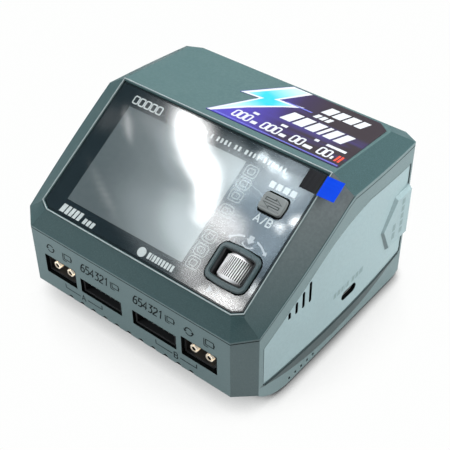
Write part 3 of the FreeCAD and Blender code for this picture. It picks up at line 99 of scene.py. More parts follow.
def new_object(name, verts, faces, body="charger", look=None, smooth=False):
    mesh = bpy.data.meshes.new(name)
    mesh.from_pydata([tuple(v) for v in verts], [], faces)
    mesh.update()
    obj = bpy.data.objects.new(name, mesh)
    bpy.context.scene.collection.objects.link(obj)
    if look:
        mesh.materials.append(look)
    if smooth:
        for poly in mesh.polygons:
            poly.use_smooth = True
    if body:
        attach(obj, body)
    return obj


def decal(name, place, shapes, look, height=0.03, body="charger"):
    """Flat marks laid on a face, print and painted shade alike: polygons, neighbours a hair apart in height."""
    verts, faces = [], []
    for index, shape in enumerate(shapes):
        start = len(verts)
        verts += [place(u, v, height + 0.002 * (index % 6)) for u, v in shape]
        faces.append(list(range(start, start + len(shape))))
    return new_object(name, verts, faces, body, look)


def stroke(points, width, closed=False):
    """Polygons of a line with mitred corners."""
    pts = [Vector(p) for p in points]
    count = len(pts)
    sides = []
    for i, p in enumerate(pts):
        before = pts[(i - 1) % count] if closed or i else None
        after = pts[(i + 1) % count] if closed or i < count - 1 else None
        d1 = (p - before).normalized() if before is not None else (after - p).normalized()
        d2 = (after - p).normalized() if after is not None else d1
        mean = (d1 + d2)
        mean = mean.normalized() if mean.length > 1e-6 else d1
        normal = Vector((-mean.y, mean.x))
        reach = width / 2 / max(0.45, normal.dot(Vector((-d1.y, d1.x))))
        sides.append((p + normal * reach, p - normal * reach))
    quads = []
    for i in range(count if closed else count - 1):
        a, b = sides[i], sides[(i + 1) % count]
        quads.append([a[0], a[1], b[1], b[0]])
    return quads


def arc(cx, cy, radius, start, end, steps=14):
    return [(cx + radius * math.cos(math.radians(start + (end - start) * i / steps)),
             cy + radius * math.sin(math.radians(start + (end - start) * i / steps)))
            for i in range(steps + 1)]


def disc(cx, cy, radius, steps=20):
    return arc(cx, cy, radius, 0, 360 - 360 / steps, steps - 1)


def rounded(x0, y0, x1, y1, r, steps=5):
    """Outline of a rounded rectangle."""
    points = []
    for cx, cy, start in ((x1 - r, y0 + r, -90), (x1 - r, y1 - r, 0), (x0 + r, y1 - r, 90), (x0 + r, y0 + r, 180)):
        points += arc(cx, cy, r, start, start + 90, steps)
    return points


def slanted(x, y, width, height, lean=0.22):
    return [(x, y), (x + width, y), (x + width + lean * height, y + height), (x + lean * height, y + height)]


def offset_outline(points, margin):
    """Grow a counter-clockwise outline by a margin, with mitred corners."""
    grown = []
    for i, p in enumerate(points):
        a, b, c = Vector(points[i - 1]), Vector(p), Vector(points[(i + 1) % len(points)])
        d1, d2 = (b - a).normalized(), (c - b).normalized()
        n1, n2 = Vector((d1.y, -d1.x)), Vector((d2.y, -d2.x))
        mean = (n1 + n2).normalized()
        grown.append(b + mean * margin / mean.dot(n1))
    return [tuple(p) for p in grown]


GLYPHS = {
    "1": [[(0.15, 0.78), (0.4, 1), (0.4, 0)]],
    "2": [[(0.05, 0.82), (0.2, 1), (0.5, 1), (0.62, 0.85), (0.6, 0.62), (0.05, 0.1), (0.05, 0), (0.64, 0)]],
    "3": [[(0.05, 1), (0.6, 1), (0.32, 0.6), (0.5, 0.56), (0.62, 0.4), (0.6, 0.14), (0.45, 0), (0.05, 0)]],
    "4": [[(0.46, 0), (0.46, 1), (0.0, 0.3), (0.66, 0.3)]],
    "5": [[(0.6, 1), (0.1, 1), (0.08, 0.58), (0.45, 0.6), (0.62, 0.42), (0.6, 0.14), (0.42, 0), (0.05, 0)]],
    "6": [[(0.58, 1), (0.25, 0.94), (0.05, 0.6), (0.05, 0.14), (0.2, 0), (0.48, 0), (0.62, 0.15), (0.62, 0.42),
           (0.48, 0.56), (0.08, 0.5)]],
    "A": [[(0, 0), (0.33, 1), (0.66, 0)], [(0.13, 0.33), (0.53, 0.33)]],
    "B": [[(0.45, 0.52), (0.62, 0.38), (0.6, 0.12), (0.45, 0), (0.06, 0), (0.06, 1), (0.45, 1), (0.58, 0.86),
           (0.57, 0.64), (0.45, 0.52), (0.06, 0.52)]],
    "/": [[(0.0, -0.05), (0.4, 1.05)]],
}


def glyph(char, x, y, height, width=0.3, lean=0.18, squeeze=1.0):
    shapes = []
    for line in GLYPHS[char]:
        points = [(x + (u * squeeze + lean * v) * height, y + v * height) for u, v in line]
        shapes += stroke(points, width)
    return shapes


# ------------------------------------------------------------------ materials


class Look:
    """A node material built step by step."""

    def __init__(self, name):
        self.mat = bpy.data.materials.new(name)
        self.mat.use_nodes = True
        self.tree = self.mat.node_tree
        self.tree.nodes.clear()
        self.out = self.node("ShaderNodeOutputMaterial")
        self.coords = self.node("ShaderNodeTexCoord").outputs["Object"]

    def node(self, kind, **inputs):
        node = self.tree.nodes.new(kind)
        for key, value in inputs.items():
            key = key.replace("_", " ")
            if hasattr(value, "is_linked"):
                self.tree.links.new(value, node.inputs[key])
            else:
                node.inputs[key].default_value = value
        return node

    def stretch(self, x, y, z, turn=(0, 0, 0)):
        mapping = self.node("ShaderNodeMapping", Vector=self.coords)
        mapping.inputs["Scale"].default_value = (x, y, z)
        mapping.inputs["Rotation"].default_value = [math.radians(a) for a in turn]
        return mapping.outputs["Vector"]

    def noise(self, scale, detail=2.0, roughness=0.5, vector=None, distortion=0.0):
        return self.node("ShaderNodeTexNoise", Vector=vector or self.coords, Scale=scale, Detail=detail,
                         Roughness=roughness, Distortion=distortion).outputs["Fac"]

    def voronoi(self, scale, feature="F1", vector=None):
        node = self.node("ShaderNodeTexVoronoi", Vector=vector or self.coords, Scale=scale)
        node.feature = feature
        return node.outputs["Distance"]

    def ramp(self, value, low, high, to_low=0.0, to_high=1.0):
        node = self.node("ShaderNodeMapRange", Value=value)
        for key, number in (("From Min", low), ("From Max", high), ("To Min", to_low), ("To Max", to_high)):
            node.inputs[key].default_value = number
        return node.outputs["Result"]

    def math(self, operation, a, b=0.0):
        node = self.node("ShaderNodeMath")
        node.operation = operation
        for index, value in enumerate((a, b)):
            if hasattr(value, "is_linked"):
                self.tree.links.new(value, node.inputs[index])
            else:
                node.inputs[index].default_value = value
        return node.outputs[0]

    def mix(self, fac, a, b):
        node = self.node("ShaderNodeMix")
        node.data_type = "RGBA"
        slots = (node.inputs[0], node.inputs[6], node.inputs[7])
        for socket, value in zip(slots, (fac, a, b)):
            if hasattr(value, "is_linked"):
                self.tree.links.new(value, socket)
            elif socket is slots[0]:
                socket.default_value = value
            else:
                socket.default_value = rgba(value)
        return node.outputs[2]

    def edges(self, radius, samples=4):
        """Rounded normals and a mask of the edges."""
        node = self.node("ShaderNodeBevel", Radius=radius)
        node.samples = samples
        geometry = self.node("ShaderNodeNewGeometry")
        dot = self.node("ShaderNodeVectorMath")
        dot.operation = "DOT_PRODUCT"
        self.tree.links.new(node.outputs[0], dot.inputs[0])
        self.tree.links.new(geometry.outputs["Normal"], dot.inputs[1])
        return node.outputs[0], self.ramp(dot.outputs["Value"], 0.995, 0.86)

    def bump(self, height, distance, strength=1.0, normal=None):
        node = self.node("ShaderNodeBump", Height=height, Distance=distance, Strength=strength)
        if normal is not None:
            self.tree.links.new(normal, node.inputs["Normal"])
        return node.outputs[0]

    def surface(self, **inputs):
        bsdf = self.node("ShaderNodeBsdfPrincipled", **inputs)
        self.tree.links.new(bsdf.outputs[0], self.out.inputs["Surface"])
        return bsdf

    def finish(self, shader):
        self.tree.links.new(shader, self.out.inputs["Surface"])
        return self.mat


def rgba(color):
    return (*color[:3], 1.0)


def plastic(name, color, rough=0.5, grain=0.03, grain_scale=2600, blotch=0.12, edge=0.35, lift=0.25, spec=0.5,
            coat=0.0, under=0.0, fleck=0.0, painted_sheen=None):
    """Moulded plastic: spark-eroded grain, faint flow marks, softened edges painted lighter, partly as rubbed polish
    and partly as a painted highlight.
    """
    look = Look(name)
    cells = look.voronoi(grain_scale)
    fine = look.noise(grain_scale * 0.6, 3.0, 0.6)
    height = look.math("ADD", look.math("MULTIPLY", cells, 0.6), fine)
    cloudy = look.noise(55, 3.0, 0.55, distortion=0.4)
    darker = [c * (1 - blotch) for c in color]
    lighter = [min(1, c * (1 + blotch)) for c in color]
    base = look.mix(cloudy, darker, lighter)
    speck = look.ramp(look.noise(grain_scale * 0.35, 1.0), 0.35, 0.7)
    base = look.mix(look.math("MULTIPLY", speck, 0.35), base, [c * 0.8 for c in color])
    if fleck:
        dots = look.ramp(look.noise(3000, 2.0, 0.7), 0.44, 0.66)
        base = look.mix(look.math("MULTIPLY", dots, fleck), [c * (1 - 0.5 * fleck) for c in color],
                        [min(1, c * 2.1 + 0.03) for c in color])
    # painted highlight: the bevel beside the panel is painted greyer and lighter towards its top, and flat upward faces
    # are painted lighter as top light
    if painted_sheen:
        normals = look.node("ShaderNodeSeparateXYZ", Vector=look.node("ShaderNodeNewGeometry").outputs["Normal"])
        spot = look.node("ShaderNodeSeparateXYZ", Vector=look.coords)
        share = look.math("MULTIPLY", look.ramp(normals.outputs["X"], 0.3, 0.45),
                          look.ramp(normals.outputs["Z"], 0.2, 0.3))
        share = look.math("MULTIPLY", share, look.ramp(normals.outputs["Y"], -0.1, -0.25))
        share = look.math("MULTIPLY", share, look.ramp(spot.outputs["Z"], 36 * MM, 70 * MM))
        base = look.mix(share, base, look.mix(speck, painted_sheen, [c * 1.15 for c in painted_sheen]))
        painted_top_light = look.ramp(normals.outputs["Z"], 0.93, 0.98)
        base = look.mix(look.math("MULTIPLY", painted_top_light, 0.85), base, look.mix(speck, (0.040, 0.076, 0.078),
                                                                            (0.050, 0.088, 0.090)))
    # painted shade: faces that look downwards are painted darker
    if under:
        facing = look.node("ShaderNodeSeparateXYZ", Vector=look.node("ShaderNodeNewGeometry").outputs["Normal"])
        underside_shade = look.ramp(facing.outputs["Z"], -0.02, -0.12)
        base = look.mix(look.math("MULTIPLY", underside_shade, under), base, [c * 0.25 for c in color])
    normal = None
    if edge:
        normal, mask = look.edges(edge * MM)
        # edges painted lighter by lift: partly rubbed polish, partly a painted highlight
        base = look.mix(look.math("MULTIPLY", mask, lift), base, [min(1, c * 1.6 + 0.03) for c in color])
    bumped = look.bump(height, grain * MM, 0.6, normal)
    look.surface(Base_Color=base, Roughness=look.ramp(cloudy, 0.3, 0.7, rough - 0.05, rough + 0.06), Normal=bumped,
                 Specular_IOR_Level=spec, Coat_Weight=coat, Coat_Roughness=0.12)
    return look.mat


def metal(name, color, rough=0.3, lines=(900, 900, 40), depth=0.006, edge=0.12, turn=(0, 0, 0), glow=0.0):
    """Worked metal: directional tool marks, small stains, edges painted brighter as wear and as a painted highlight,
    and a painted glow where glow is set.
    """
    look = Look(name)
    marks = look.noise(1.0, 3.0, 0.6, vector=look.stretch(*lines, turn))
    stains = look.noise(160, 3.0, 0.6)
    base = look.mix(look.ramp(stains, 0.35, 0.7), [c * 0.86 for c in color], color)
    normal, mask = look.edges(edge * MM, 3)
    # edges painted brighter: partly worn bright, partly a painted highlight
    base = look.mix(look.math("MULTIPLY", mask, 0.5), base, [min(1, c * 1.25 + 0.05) for c in color])
    # glow is painted light: the metal emits a little of its own colour
    look.surface(Base_Color=base, Metallic=1.0, Roughness=look.ramp(marks, 0.3, 0.7, rough - 0.08, rough + 0.1),
                 Normal=look.bump(marks, depth * MM, 0.8, normal), Anisotropic=0.3, Emission_Color=base,
                 Emission_Strength=glow)
    return look.mat


def board(name, color=(0.008, 0.07, 0.05)):
    """Circuit board: traces under solder mask, vias and tinned pads."""
    look = Look(name)
    blocks = look.node("ShaderNodeTexBrick", Vector=look.coords, Scale=420.0, Mortar_Size=0.03)
    tracks = look.noise(1.0, 1.0, 0.4, vector=look.stretch(60, 700, 60))
    mask = look.ramp(tracks, 0.48, 0.52)
    base = look.mix(look.math("MULTIPLY", mask, 0.6), color, [c * 2.2 + 0.01 for c in color])
    pads = look.ramp(look.voronoi(420), 0.16, 0.13)
    base = look.mix(pads, base, (0.62, 0.6, 0.52))
    base = look.mix(look.math("MULTIPLY", blocks.outputs["Fac"], 0.25), base, (0.5, 0.52, 0.5))
    height = look.math("ADD", mask, pads)
    look.surface(Base_Color=base, Metallic=look.math("MULTIPLY", pads, 0.9), Roughness=0.32,
                 Normal=look.bump(height, 0.03 * MM, 0.6), Coat_Weight=0.4)
    return look.mat


def rubber(name, color):
    look = Look(name)
    pores = look.noise(1800, 3.0, 0.7)
    dust = look.ramp(look.noise(90, 4.0, 0.7), 0.45, 0.75)
    base = look.mix(look.math("MULTIPLY", dust, 0.35), color, [c * 0.6 + 0.08 for c in color])
    look.surface(Base_Color=base, Roughness=look.ramp(pores, 0.3, 0.7, 0.62, 0.85),
                 Normal=look.bump(pores, 0.05 * MM, 0.7))
    return look.mat


def wound(name, color, pitch=1.1, turn=(0, 0, 0)):
    """Enamelled wire laid side by side."""
    look = Look(name)
    wave = look.node("ShaderNodeTexWave", Vector=look.stretch(1, 1, 1, turn), Scale=1000 / pitch / 6.28 * 3.14,
                     Distortion=0.4)
    wave.bands_direction = "Z"
    turns = wave.outputs["Fac"]
    # painted shade: the wire is painted darker between its turns
    base = look.mix(turns, [c * 0.35 for c in color], color)
    look.surface(Base_Color=base, Metallic=0.55, Roughness=0.33, Normal=look.bump(turns, 0.25 * MM, 0.9),
                 Coat_Weight=0.6, Coat_Roughness=0.15)
    return look.mat


def clear_film():
    """Clear protective film: faint ripples, fine scratches and a few trapped bubbles."""
    look = Look("look_film")
    ripples = look.noise(26, 2.0, 0.45, vector=look.stretch(1.0, 2.2, 1.0, (0, 0, 35)), distortion=0.4)
    scratches = look.noise(1.0, 2.0, 0.6, vector=look.stretch(70, 2600, 400, (0, 0, -38)))
    bubbles = look.ramp(look.voronoi(150, vector=look.stretch(1, 1, 1, (10, 0, 20))), 0.03, 0.09, 1.0, 0.0)
    height = look.math("ADD", look.math("MULTIPLY", ripples, 1.0), look.math("MULTIPLY", bubbles, 0.02))
    height = look.math("ADD", height, look.math("MULTIPLY", scratches, 0.004))
    normal = look.bump(height, 0.5 * MM, 0.12)
    gloss = look.node("ShaderNodeBsdfGlossy", Color=(0.97, 0.99, 1.0, 1.0), Roughness=0.04)
    look.tree.links.new(normal, gloss.inputs["Normal"])
    clear = look.node("ShaderNodeBsdfTransparent", Color=(0.95, 0.97, 0.97, 1.0))
    facing = look.node("ShaderNodeLayerWeight", Blend=0.5).outputs["Facing"]
    mixed = look.node("ShaderNodeMixShader")
    look.tree.links.new(look.ramp(facing, 0.55, 1.0, FILM_SHARE, 0.85), mixed.inputs[0])
    look.tree.links.new(clear.outputs[0], mixed.inputs[1])
    look.tree.links.new(gloss.outputs[0], mixed.inputs[2])
    return look.finish(mixed.outputs[0])


def knurled():
    """Bright turned metal, with painted shade at the bottom of the grooves around the roller's axis."""
    look = Look("look_wheel")
    centre, axis = joints["wheel_spin"]["pos_m"], UP_SLOPE
    arm = look.node("ShaderNodeVectorMath")
    arm.operation = "SUBTRACT"
    look.tree.links.new(look.coords, arm.inputs[0])
    arm.inputs[1].default_value = centre
    cross = look.node("ShaderNodeVectorMath")
    cross.operation = "CROSS_PRODUCT"
    look.tree.links.new(arm.outputs[0], cross.inputs[0])
    cross.inputs[1].default_value = axis
    reach = look.node("ShaderNodeVectorMath")
    reach.operation = "LENGTH"
    look.tree.links.new(cross.outputs[0], reach.inputs[0])
    ribs = look.ramp(reach.outputs["Value"], 6.08 * MM, 6.3 * MM)
    along = look.node("ShaderNodeVectorMath")
    along.operation = "DOT_PRODUCT"
    look.tree.links.new(arm.outputs[0], along.inputs[0])
    along.inputs[1].default_value = axis
    ends = look.ramp(look.math("ABSOLUTE", along.outputs["Value"]), 3.8 * MM, 3.9 * MM)
    outside_groove_shade = look.math("MAXIMUM", ribs, ends)
    marks = look.noise(1.0, 3.0, 0.6, vector=look.stretch(300, 2000, 2000))
    base = look.mix(look.math("MULTIPLY", marks, 0.3), (0.90, 0.90, 0.91), (0.62, 0.63, 0.65))
    # painted shade: groove bottoms are painted near black
    base = look.mix(outside_groove_shade, (0.035, 0.036, 0.038), base)
    look.surface(Base_Color=base, Metallic=0.35, Roughness=look.ramp(marks, 0.3, 0.7, 0.3, 0.45),
                 Normal=look.bump(marks, 0.004 * MM, 0.8))
    return look.mat


def black_glass():
    look = Look("look_glass")
    haze = look.noise(60, 4.0, 0.6)
    base = look.mix(haze, (0.006, 0.011, 0.013), (0.012, 0.019, 0.022))
    normal, mask = look.edges(0.2 * MM, 3)
    # painted highlight: the glass edges are painted lighter
    base = look.mix(look.math("MULTIPLY", mask, 0.3), base, (0.2, 0.24, 0.25))
    look.surface(Base_Color=base, Roughness=look.ramp(haze, 0.3, 0.7, 0.03, 0.07), IOR=1.52, Normal=normal)
    return look.mat


def display_face():
    """The unlit display under the film: grey, with a painted glare in soft diagonal streaks that brightens it from left
    to right.
    """
    look = Look("look_display_painted_glare")
    glare_streaks = look.noise(1.0, 3.0, 0.55, vector=look.stretch(22, 60, 60, (0, 0, 40)), distortion=0.3)
    fine = look.noise(420, 2.0, 0.6)
    split = look.node("ShaderNodeSeparateXYZ", Vector=look.coords)
    # painted glare: darker on the left, brighter on the right
    across = look.ramp(split.outputs["X"], -24 * MM, 16 * MM)
    left = look.mix(glare_streaks, (0.045, 0.060, 0.064), (0.078, 0.096, 0.102))
    right = look.mix(glare_streaks, (0.17, 0.195, 0.20), (0.27, 0.30, 0.305))
    base = look.mix(look.math("POWER", across, 1.5), left, right)
    base = look.mix(look.math("MULTIPLY", fine, 0.12), base, (0.25, 0.27, 0.27))
    look.surface(Base_Color=base, Roughness=0.34, Specular_IOR_Level=0.6, Coat_Weight=0.6, Coat_Roughness=0.08)
    return look.mat


def printed(name, color, rough=0.4, glow=0.0, spec=0.5):
    """Screen-printed ink with small pinholes and uneven density."""
    look = Look(name)
    dots = look.ramp(look.noise(2200, 2.0, 0.6), 0.25, 0.6)
    base = look.mix(dots, [c * 0.82 for c in color], color)
    look.surface(Base_Color=base, Roughness=rough, Normal=look.bump(dots, 0.01 * MM, 0.5),
                 Specular_IOR_Level=spec, Emission_Color=rgba(color), Emission_Strength=glow)
    return look.mat


def label_face():
    """Sticker: blue-violet on the left fading to charcoal on the right, with a dot screen."""
    look = Look("look_label")
    split = look.node("ShaderNodeSeparateXYZ", Vector=look.coords)
    x, y = split.outputs["X"], split.outputs["Y"]
    slope = look.math("ADD", look.math("MULTIPLY", x, 1.0), look.math("MULTIPLY", y, 0.25))
    wide = look.ramp(slope, 2 * MM, 44 * MM)
    wavy = look.noise(1.0, 2.0, 0.5, vector=look.stretch(18, 150, 20, (0, 0, 8)))
    base = look.mix(look.ramp(wide, 0.0, 0.5), (0.036, 0.026, 0.24), (0.021, 0.013, 0.048))
    base = look.mix(look.ramp(wide, 0.35, 0.8), base, (0.021, 0.016, 0.019))
    base = look.mix(look.math("MULTIPLY", look.ramp(wavy, 0.55, 0.75), 0.5), base, (0.040, 0.030, 0.20))
    dots = look.ramp(look.voronoi(1500), 0.2, 0.5)
    base = look.mix(look.math("MULTIPLY", dots, 0.12), base, (0.02, 0.02, 0.03))
    look.surface(Base_Color=base, Roughness=0.5, Specular_IOR_Level=0.25,
                 Normal=look.bump(look.noise(260), 0.02 * MM, 0.4))
    return look.mat


def bolt_face():
    """Bright flash: saturated cyan in the middle fading to white at both ends."""
    look = Look("look_bolt")
    split = look.node("ShaderNodeSeparateXYZ", Vector=look.coords)
    dx = look.math("SUBTRACT", split.outputs["X"], 2.2 * MM)
    dy = look.math("SUBTRACT", split.outputs["Y"], 29.5 * MM)
    along = look.math("MULTIPLY", look.math("ADD", dx, dy), 0.7)
    reach = look.math("ADD", look.math("MULTIPLY", look.math("ABSOLUTE", along), 1.0),
                      look.math("MULTIPLY", look.math("ABSOLUTE", look.math("SUBTRACT", dx, dy)), 0.35))
    fade = look.ramp(reach, 3 * MM, 15 * MM)
    base = look.mix(fade, (0.0, 0.27, 0.40), (0.24, 0.36, 0.38))
    base = look.mix(look.math("MULTIPLY", look.noise(900), 0.06), base, (0.4, 0.4, 0.4))
    look.surface(Base_Color=base, Roughness=0.5, Specular_IOR_Level=0.25)
    return look.mat


def blue_film():
    look = Look("look_tab")
    streak = look.noise(1.0, 3.0, 0.6, vector=look.stretch(30, 700, 700))
    base = look.mix(streak, (0.0, 0.030, 0.40), (0.0, 0.045, 0.52))
    # painted glow: the tab emits a little of its own blue
    look.surface(Base_Color=base, Roughness=0.45, Specular_IOR_Level=0.2,
                 Normal=look.bump(streak, 0.02 * MM, 0.4), Emission_Color=base, Emission_Strength=0.1)
    return look.mat


def tube_glass():
    look = Look("look_tube")
    streaks = look.noise(120, 2.0, 0.5)
    look.surface(Base_Color=look.mix(streaks, (0.8, 0.86, 0.86), (0.95, 0.97, 0.97)), Roughness=0.06,
                 Transmission_Weight=0.85, IOR=1.5)
    return look.mat


FILM_SHARE = 0.12

LOOKS = {
    # case_lower: painted shade on faces that look downwards
    "case_lower": plastic("look_case_lower", (0.098, 0.142, 0.147), 0.52, spec=0.4, under=0.75, fleck=0.16),
    # case_upper: painted highlight on the bevel beside the panel and painted top light on its flat upward faces
    "case_upper": plastic("look_case_upper", (0.025, 0.053, 0.056), 0.5, spec=0.25, fleck=0.24, painted_sheen=(0.085, 0.100, 0.103)),
    "side_trim": plastic("look_side_trim", (0.180, 0.250, 0.262), 0.46, edge=0.25, lift=0.2),
    "panel_glass": black_glass(),
    "film": clear_film(),
    "tab": blue_film(),
    "wheel_metal": knurled(),
    "bezel": plastic("look_bezel", (0.030, 0.050, 0.054), 0.26, grain=0.008, edge=0.3, lift=0.6, coat=0.5),
    "black_plastic": plastic("look_black", (0.012, 0.013, 0.014), 0.42, edge=0.15, lift=0.4),
    "button_plastic": plastic("look_button", (0.155, 0.172, 0.172), 0.42, edge=0.2, lift=0.3),
    "label_print": label_face(),
    # brass carries a weak painted glow that brightens the pins
    "brass": metal("look_brass", (0.98, 0.86, 0.66), 0.2, (600, 60, 600), 0.003, 0.08, glow=0.22),
    "steel": metal("look_steel", (0.62, 0.63, 0.64), 0.3, (700, 700, 90), 0.004, 0.1),
    "board": board("look_board"),
    "chip": plastic("look_chip", (0.02, 0.021, 0.023), 0.6, edge=0.1),
    "rubber": rubber("look_rubber", (0.018, 0.018, 0.02)),
    "core": plastic("look_core", (0.045, 0.045, 0.05), 0.7, grain=0.08, grain_scale=900, edge=0.3),
    "copper": wound("look_copper", (0.75, 0.33, 0.12)),
    "heatsink": metal("look_heatsink", (0.7, 0.71, 0.73), 0.34, (1200, 30, 1200), 0.01, 0.15),
    "pad": rubber("look_pad", (0.3, 0.42, 0.58)),
    "sleeve": plastic("look_sleeve", (0.02, 0.022, 0.05), 0.28, grain=0.01, edge=0.3, coat=0.6),
    "glass_tube": tube_glass(),
    "wire": rubber("look_wire", (0.32, 0.01, 0.012)),
}
for row in record["subparts"]:
    node = frame["nodes"][row["node"]]
    node.data.materials.clear()
    node.data.materials.append(LOOKS[row["material_slot"]])

INK_DARK = printed("ink_dark", (0.002, 0.004, 0.005), 0.6, spec=0.15)
INK_LIGHT = printed("ink_light", (0.50, 0.53, 0.53), 0.4)
INK_FAINT = printed("ink_faint", (0.30, 0.34, 0.345), 0.4)
INK_WHITE = printed("ink_white", (0.36, 0.38, 0.40), 0.5)
INK_RED = printed("ink_red", (0.38, 0.034, 0.014), 0.5)
INK_SKY = printed("ink_sky", (0.07, 0.08, 0.32), 0.5)
# black for painted shade in gaps, slots, notches and openings
SHADE_BLACK = printed("painted_shade_black", (0.002, 0.003, 0.003), 0.8, spec=0.1)
ENGRAVED = printed("ink_engraved", (0.135, 0.195, 0.203), 0.6)

# ------------------------------------------------------------------ seam, vents and side marks

FRONT_Y, BACK_Y = case_low.y / MM, case_high.y / MM
SEAM = [(-53.0, 37.7, 1.1), (-46.3, 39.2, 1.1), (4.5, 69.2, 1.9), (53.0, 66.0, 1.9)]
SIDE_HALF, BULGE = case_high.x / MM - 2.0, 2.0


def along_seam(y):
    """Height of the seam and of the band above it, at a place along the case."""
    for (y0, z0, b0), (y1, z1, b1) in zip(SEAM, SEAM[1:]):
        if y <= y1 + 1e-6:
            share = (y - y0) / (y1 - y0)
            return z0 + (z1 - z0) * share, b0 + (b1 - b0) * share
    return SEAM[-1][1:]


def case_outline():
    """Plan outline of the case at the seam, counter-clockwise, with its bulged sides."""
    start, end = FRONT_Y + 6.7, BACK_Y - 3.5
    half, middle = (end - start) / 2, (end + start) / 2
    radius = (half ** 2 + BULGE ** 2) / (2 * BULGE)
    right = [(SIDE_HALF - 7.5, FRONT_Y)]
    for i in range(25):
        y = start + (end - start) * i / 24
        right.append((SIDE_HALF + BULGE - radius + math.sqrt(radius ** 2 - (y - middle) ** 2), y))
    right.append((SIDE_HALF - 6.4, BACK_Y))
    return right + [(-x, y) for x, y in reversed(right)]


def wall_ribbon(name, low, high, proud, look, of_band=False):
    """Thin band round the case that follows the seam between two heights above it."""
    outline = case_outline()
    outer = offset_outline(outline, proud)
    verts, ring = [], len(outline)
    for share in (low, high):
        for (x, y), (_, y_seam) in zip(outer, outline):
            z, band = along_seam(y_seam)
            verts.append(Vector((x, y, z + (share * band if of_band and share == high else share))) * MM)
    faces = [[i, (i + 1) % ring, ring + (i + 1) % ring, ring + i] for i in range(ring)]
    return new_object(name, verts, faces, "charger", look)


wall_ribbon("seam_shadow", 0.02, 0.36, 0.015, SHADE_BLACK)
wall_ribbon("seam_band", 0.42, 0.98, 0.02, LOOKS["case_lower"], of_band=True)


def chin_vent_shade():
    """Black half-discs behind the half-round notches in the chin: painted shade seen through them."""
    shapes = []
    for i in range(11):
        cx = (i - 5) * 6.25
        shapes.append([(cx - 1.22, 10.6)] + [(cx + x, 10.6 + z) for x, z in arc(0, 0, 1.3, 0, 180, 12)][::1])
    return decal("chin_vent_shade", on_front, shapes, SHADE_BLACK, -0.25)


chin_vent_shade()

# ------------------------------------------------------------------ front face


def cycle_mark(cx, cy, r):
    shapes = stroke(arc(cx, cy, r, 35, 175), 0.5)
    shapes += stroke(arc(cx, cy, r, 215, 355), 0.5)
    for angle in (175, 355):
        tip = Vector((cx + r * math.cos(math.radians(angle)), cy + r * math.sin(math.radians(angle))))
        way = Vector((-math.sin(math.radians(angle)), math.cos(math.radians(angle))))
        out = Vector((math.cos(math.radians(angle)), math.sin(math.radians(angle))))
        shapes.append([tip + way * 1.1, tip + out * 0.85, tip - out * 0.85])
    return shapes


def battery_mark(x, y, width=3.6, height=2.6):
    shapes = stroke([(x, y), (x + width, y), (x + width, y + height), (x, y + height)], 0.42, closed=True)
    shapes += stroke([(x - 0.8, y - 0.9), (x - 0.8, y + height + 0.1)], 0.42)
    shapes += stroke([(x - 0.8, y - 0.9), (x + 1.1, y - 0.9)], 0.42)
    shapes.append([(x + width, y + 0.7), (x + width + 0.5, y + 0.7), (x + width + 0.5, y + height - 0.7),
                   (x + width, y + height - 0.7)])
    return shapes


def front_marks():
    shapes = []
    for cycle, pack, first, small in ((-39.6, -32.0, -23.4, -6.6), (30.8, 38.6, 3.7, 20.6)):
        shapes += cycle_mark(cycle, 32.1, 1.75)
        shapes += battery_mark(pack, 31.0)
        shapes += battery_mark(small, 31.2, 3.2, 2.3)
        for i, char in enumerate("654321"):
            shapes += glyph(char, first + 2.46 * i, 30.0, 4.1, 0.6, 0.16, 0.76)
    for left, right, mark, char in ((-33.6, -13.8, -23.7, "A"), (14.1, 33.9, 24.0, "B")):
        shapes += stroke([(left, 17.0), (left, 15.0), (mark - 1.9, 15.0)], 0.42)
        shapes += stroke([(mark + 2.1, 15.0), (right, 15.0), (right, 17.0)], 0.42)
        shapes += glyph(char, mark - 1.1, 13.6, 2.9, 0.42, 0.0, 1.05)
    return shapes


decal("front_marks", on_front, front_marks(), INK_DARK, 0.02)

def row_of_bars(x, s, widths, height, gap=0.5, lean=0.18):
    shapes = []
    for width in widths:
        shapes.append(slanted(x, s, width, height, lean))
        x += width + gap
    return shapes


SOCKETS = [(-35.2, 8.2, 18.3, 27.3), (35.2, 8.2, 18.3, 27.3), (-13.6, 10.6, 18.5, 25.3), (13.6, 10.6, 18.5, 25.3)]


def socket_shade():
    """Black sleeves in the four front openings, a thin black rim round each and dark discs behind the output pins:
    painted shade.
    """
    verts, faces = [], []
    for x, half, low, high in SOCKETS:
        start, gap = len(verts), 0.04
        corners = [(x - half + gap, low + gap), (x + half - gap, low + gap), (x + half - gap, high - gap),
                   (x - half + gap, high - gap)]
        for depth in (0.05, -0.55, -1.25, -2.25):
            verts += [on_front(u, v, depth) for u, v in corners]
        for k in range(3):
            for i in range(4):
                j = (i + 1) % 4
                faces.append([start + 4 * k + i, start + 4 * k + j, start + 4 * k + 4 + j, start + 4 * k + 4 + i])
        rim = len(verts)
        grown = [(x - half - 0.12, low - 0.12), (x + half + 0.12, low - 0.12), (x + half + 0.12, high + 0.12),
                 (x - half - 0.12, high + 0.12)]
        verts += [on_front(u, v, 0.03) for u, v in grown]
        for i in range(4):
            j = (i + 1) % 4
            faces.append([rim + i, rim + j, start + j, start + i])
    for x in (-38.8, -31.6, 31.6, 38.8):
        faces.append(list(range(len(verts), len(verts) + 16)))
        verts += [on_front(u, v, -1.5) for u, v in disc(x, 22.7, 0.97, 16)]
    return new_object("socket_shade", verts, faces, "charger", SHADE_BLACK)


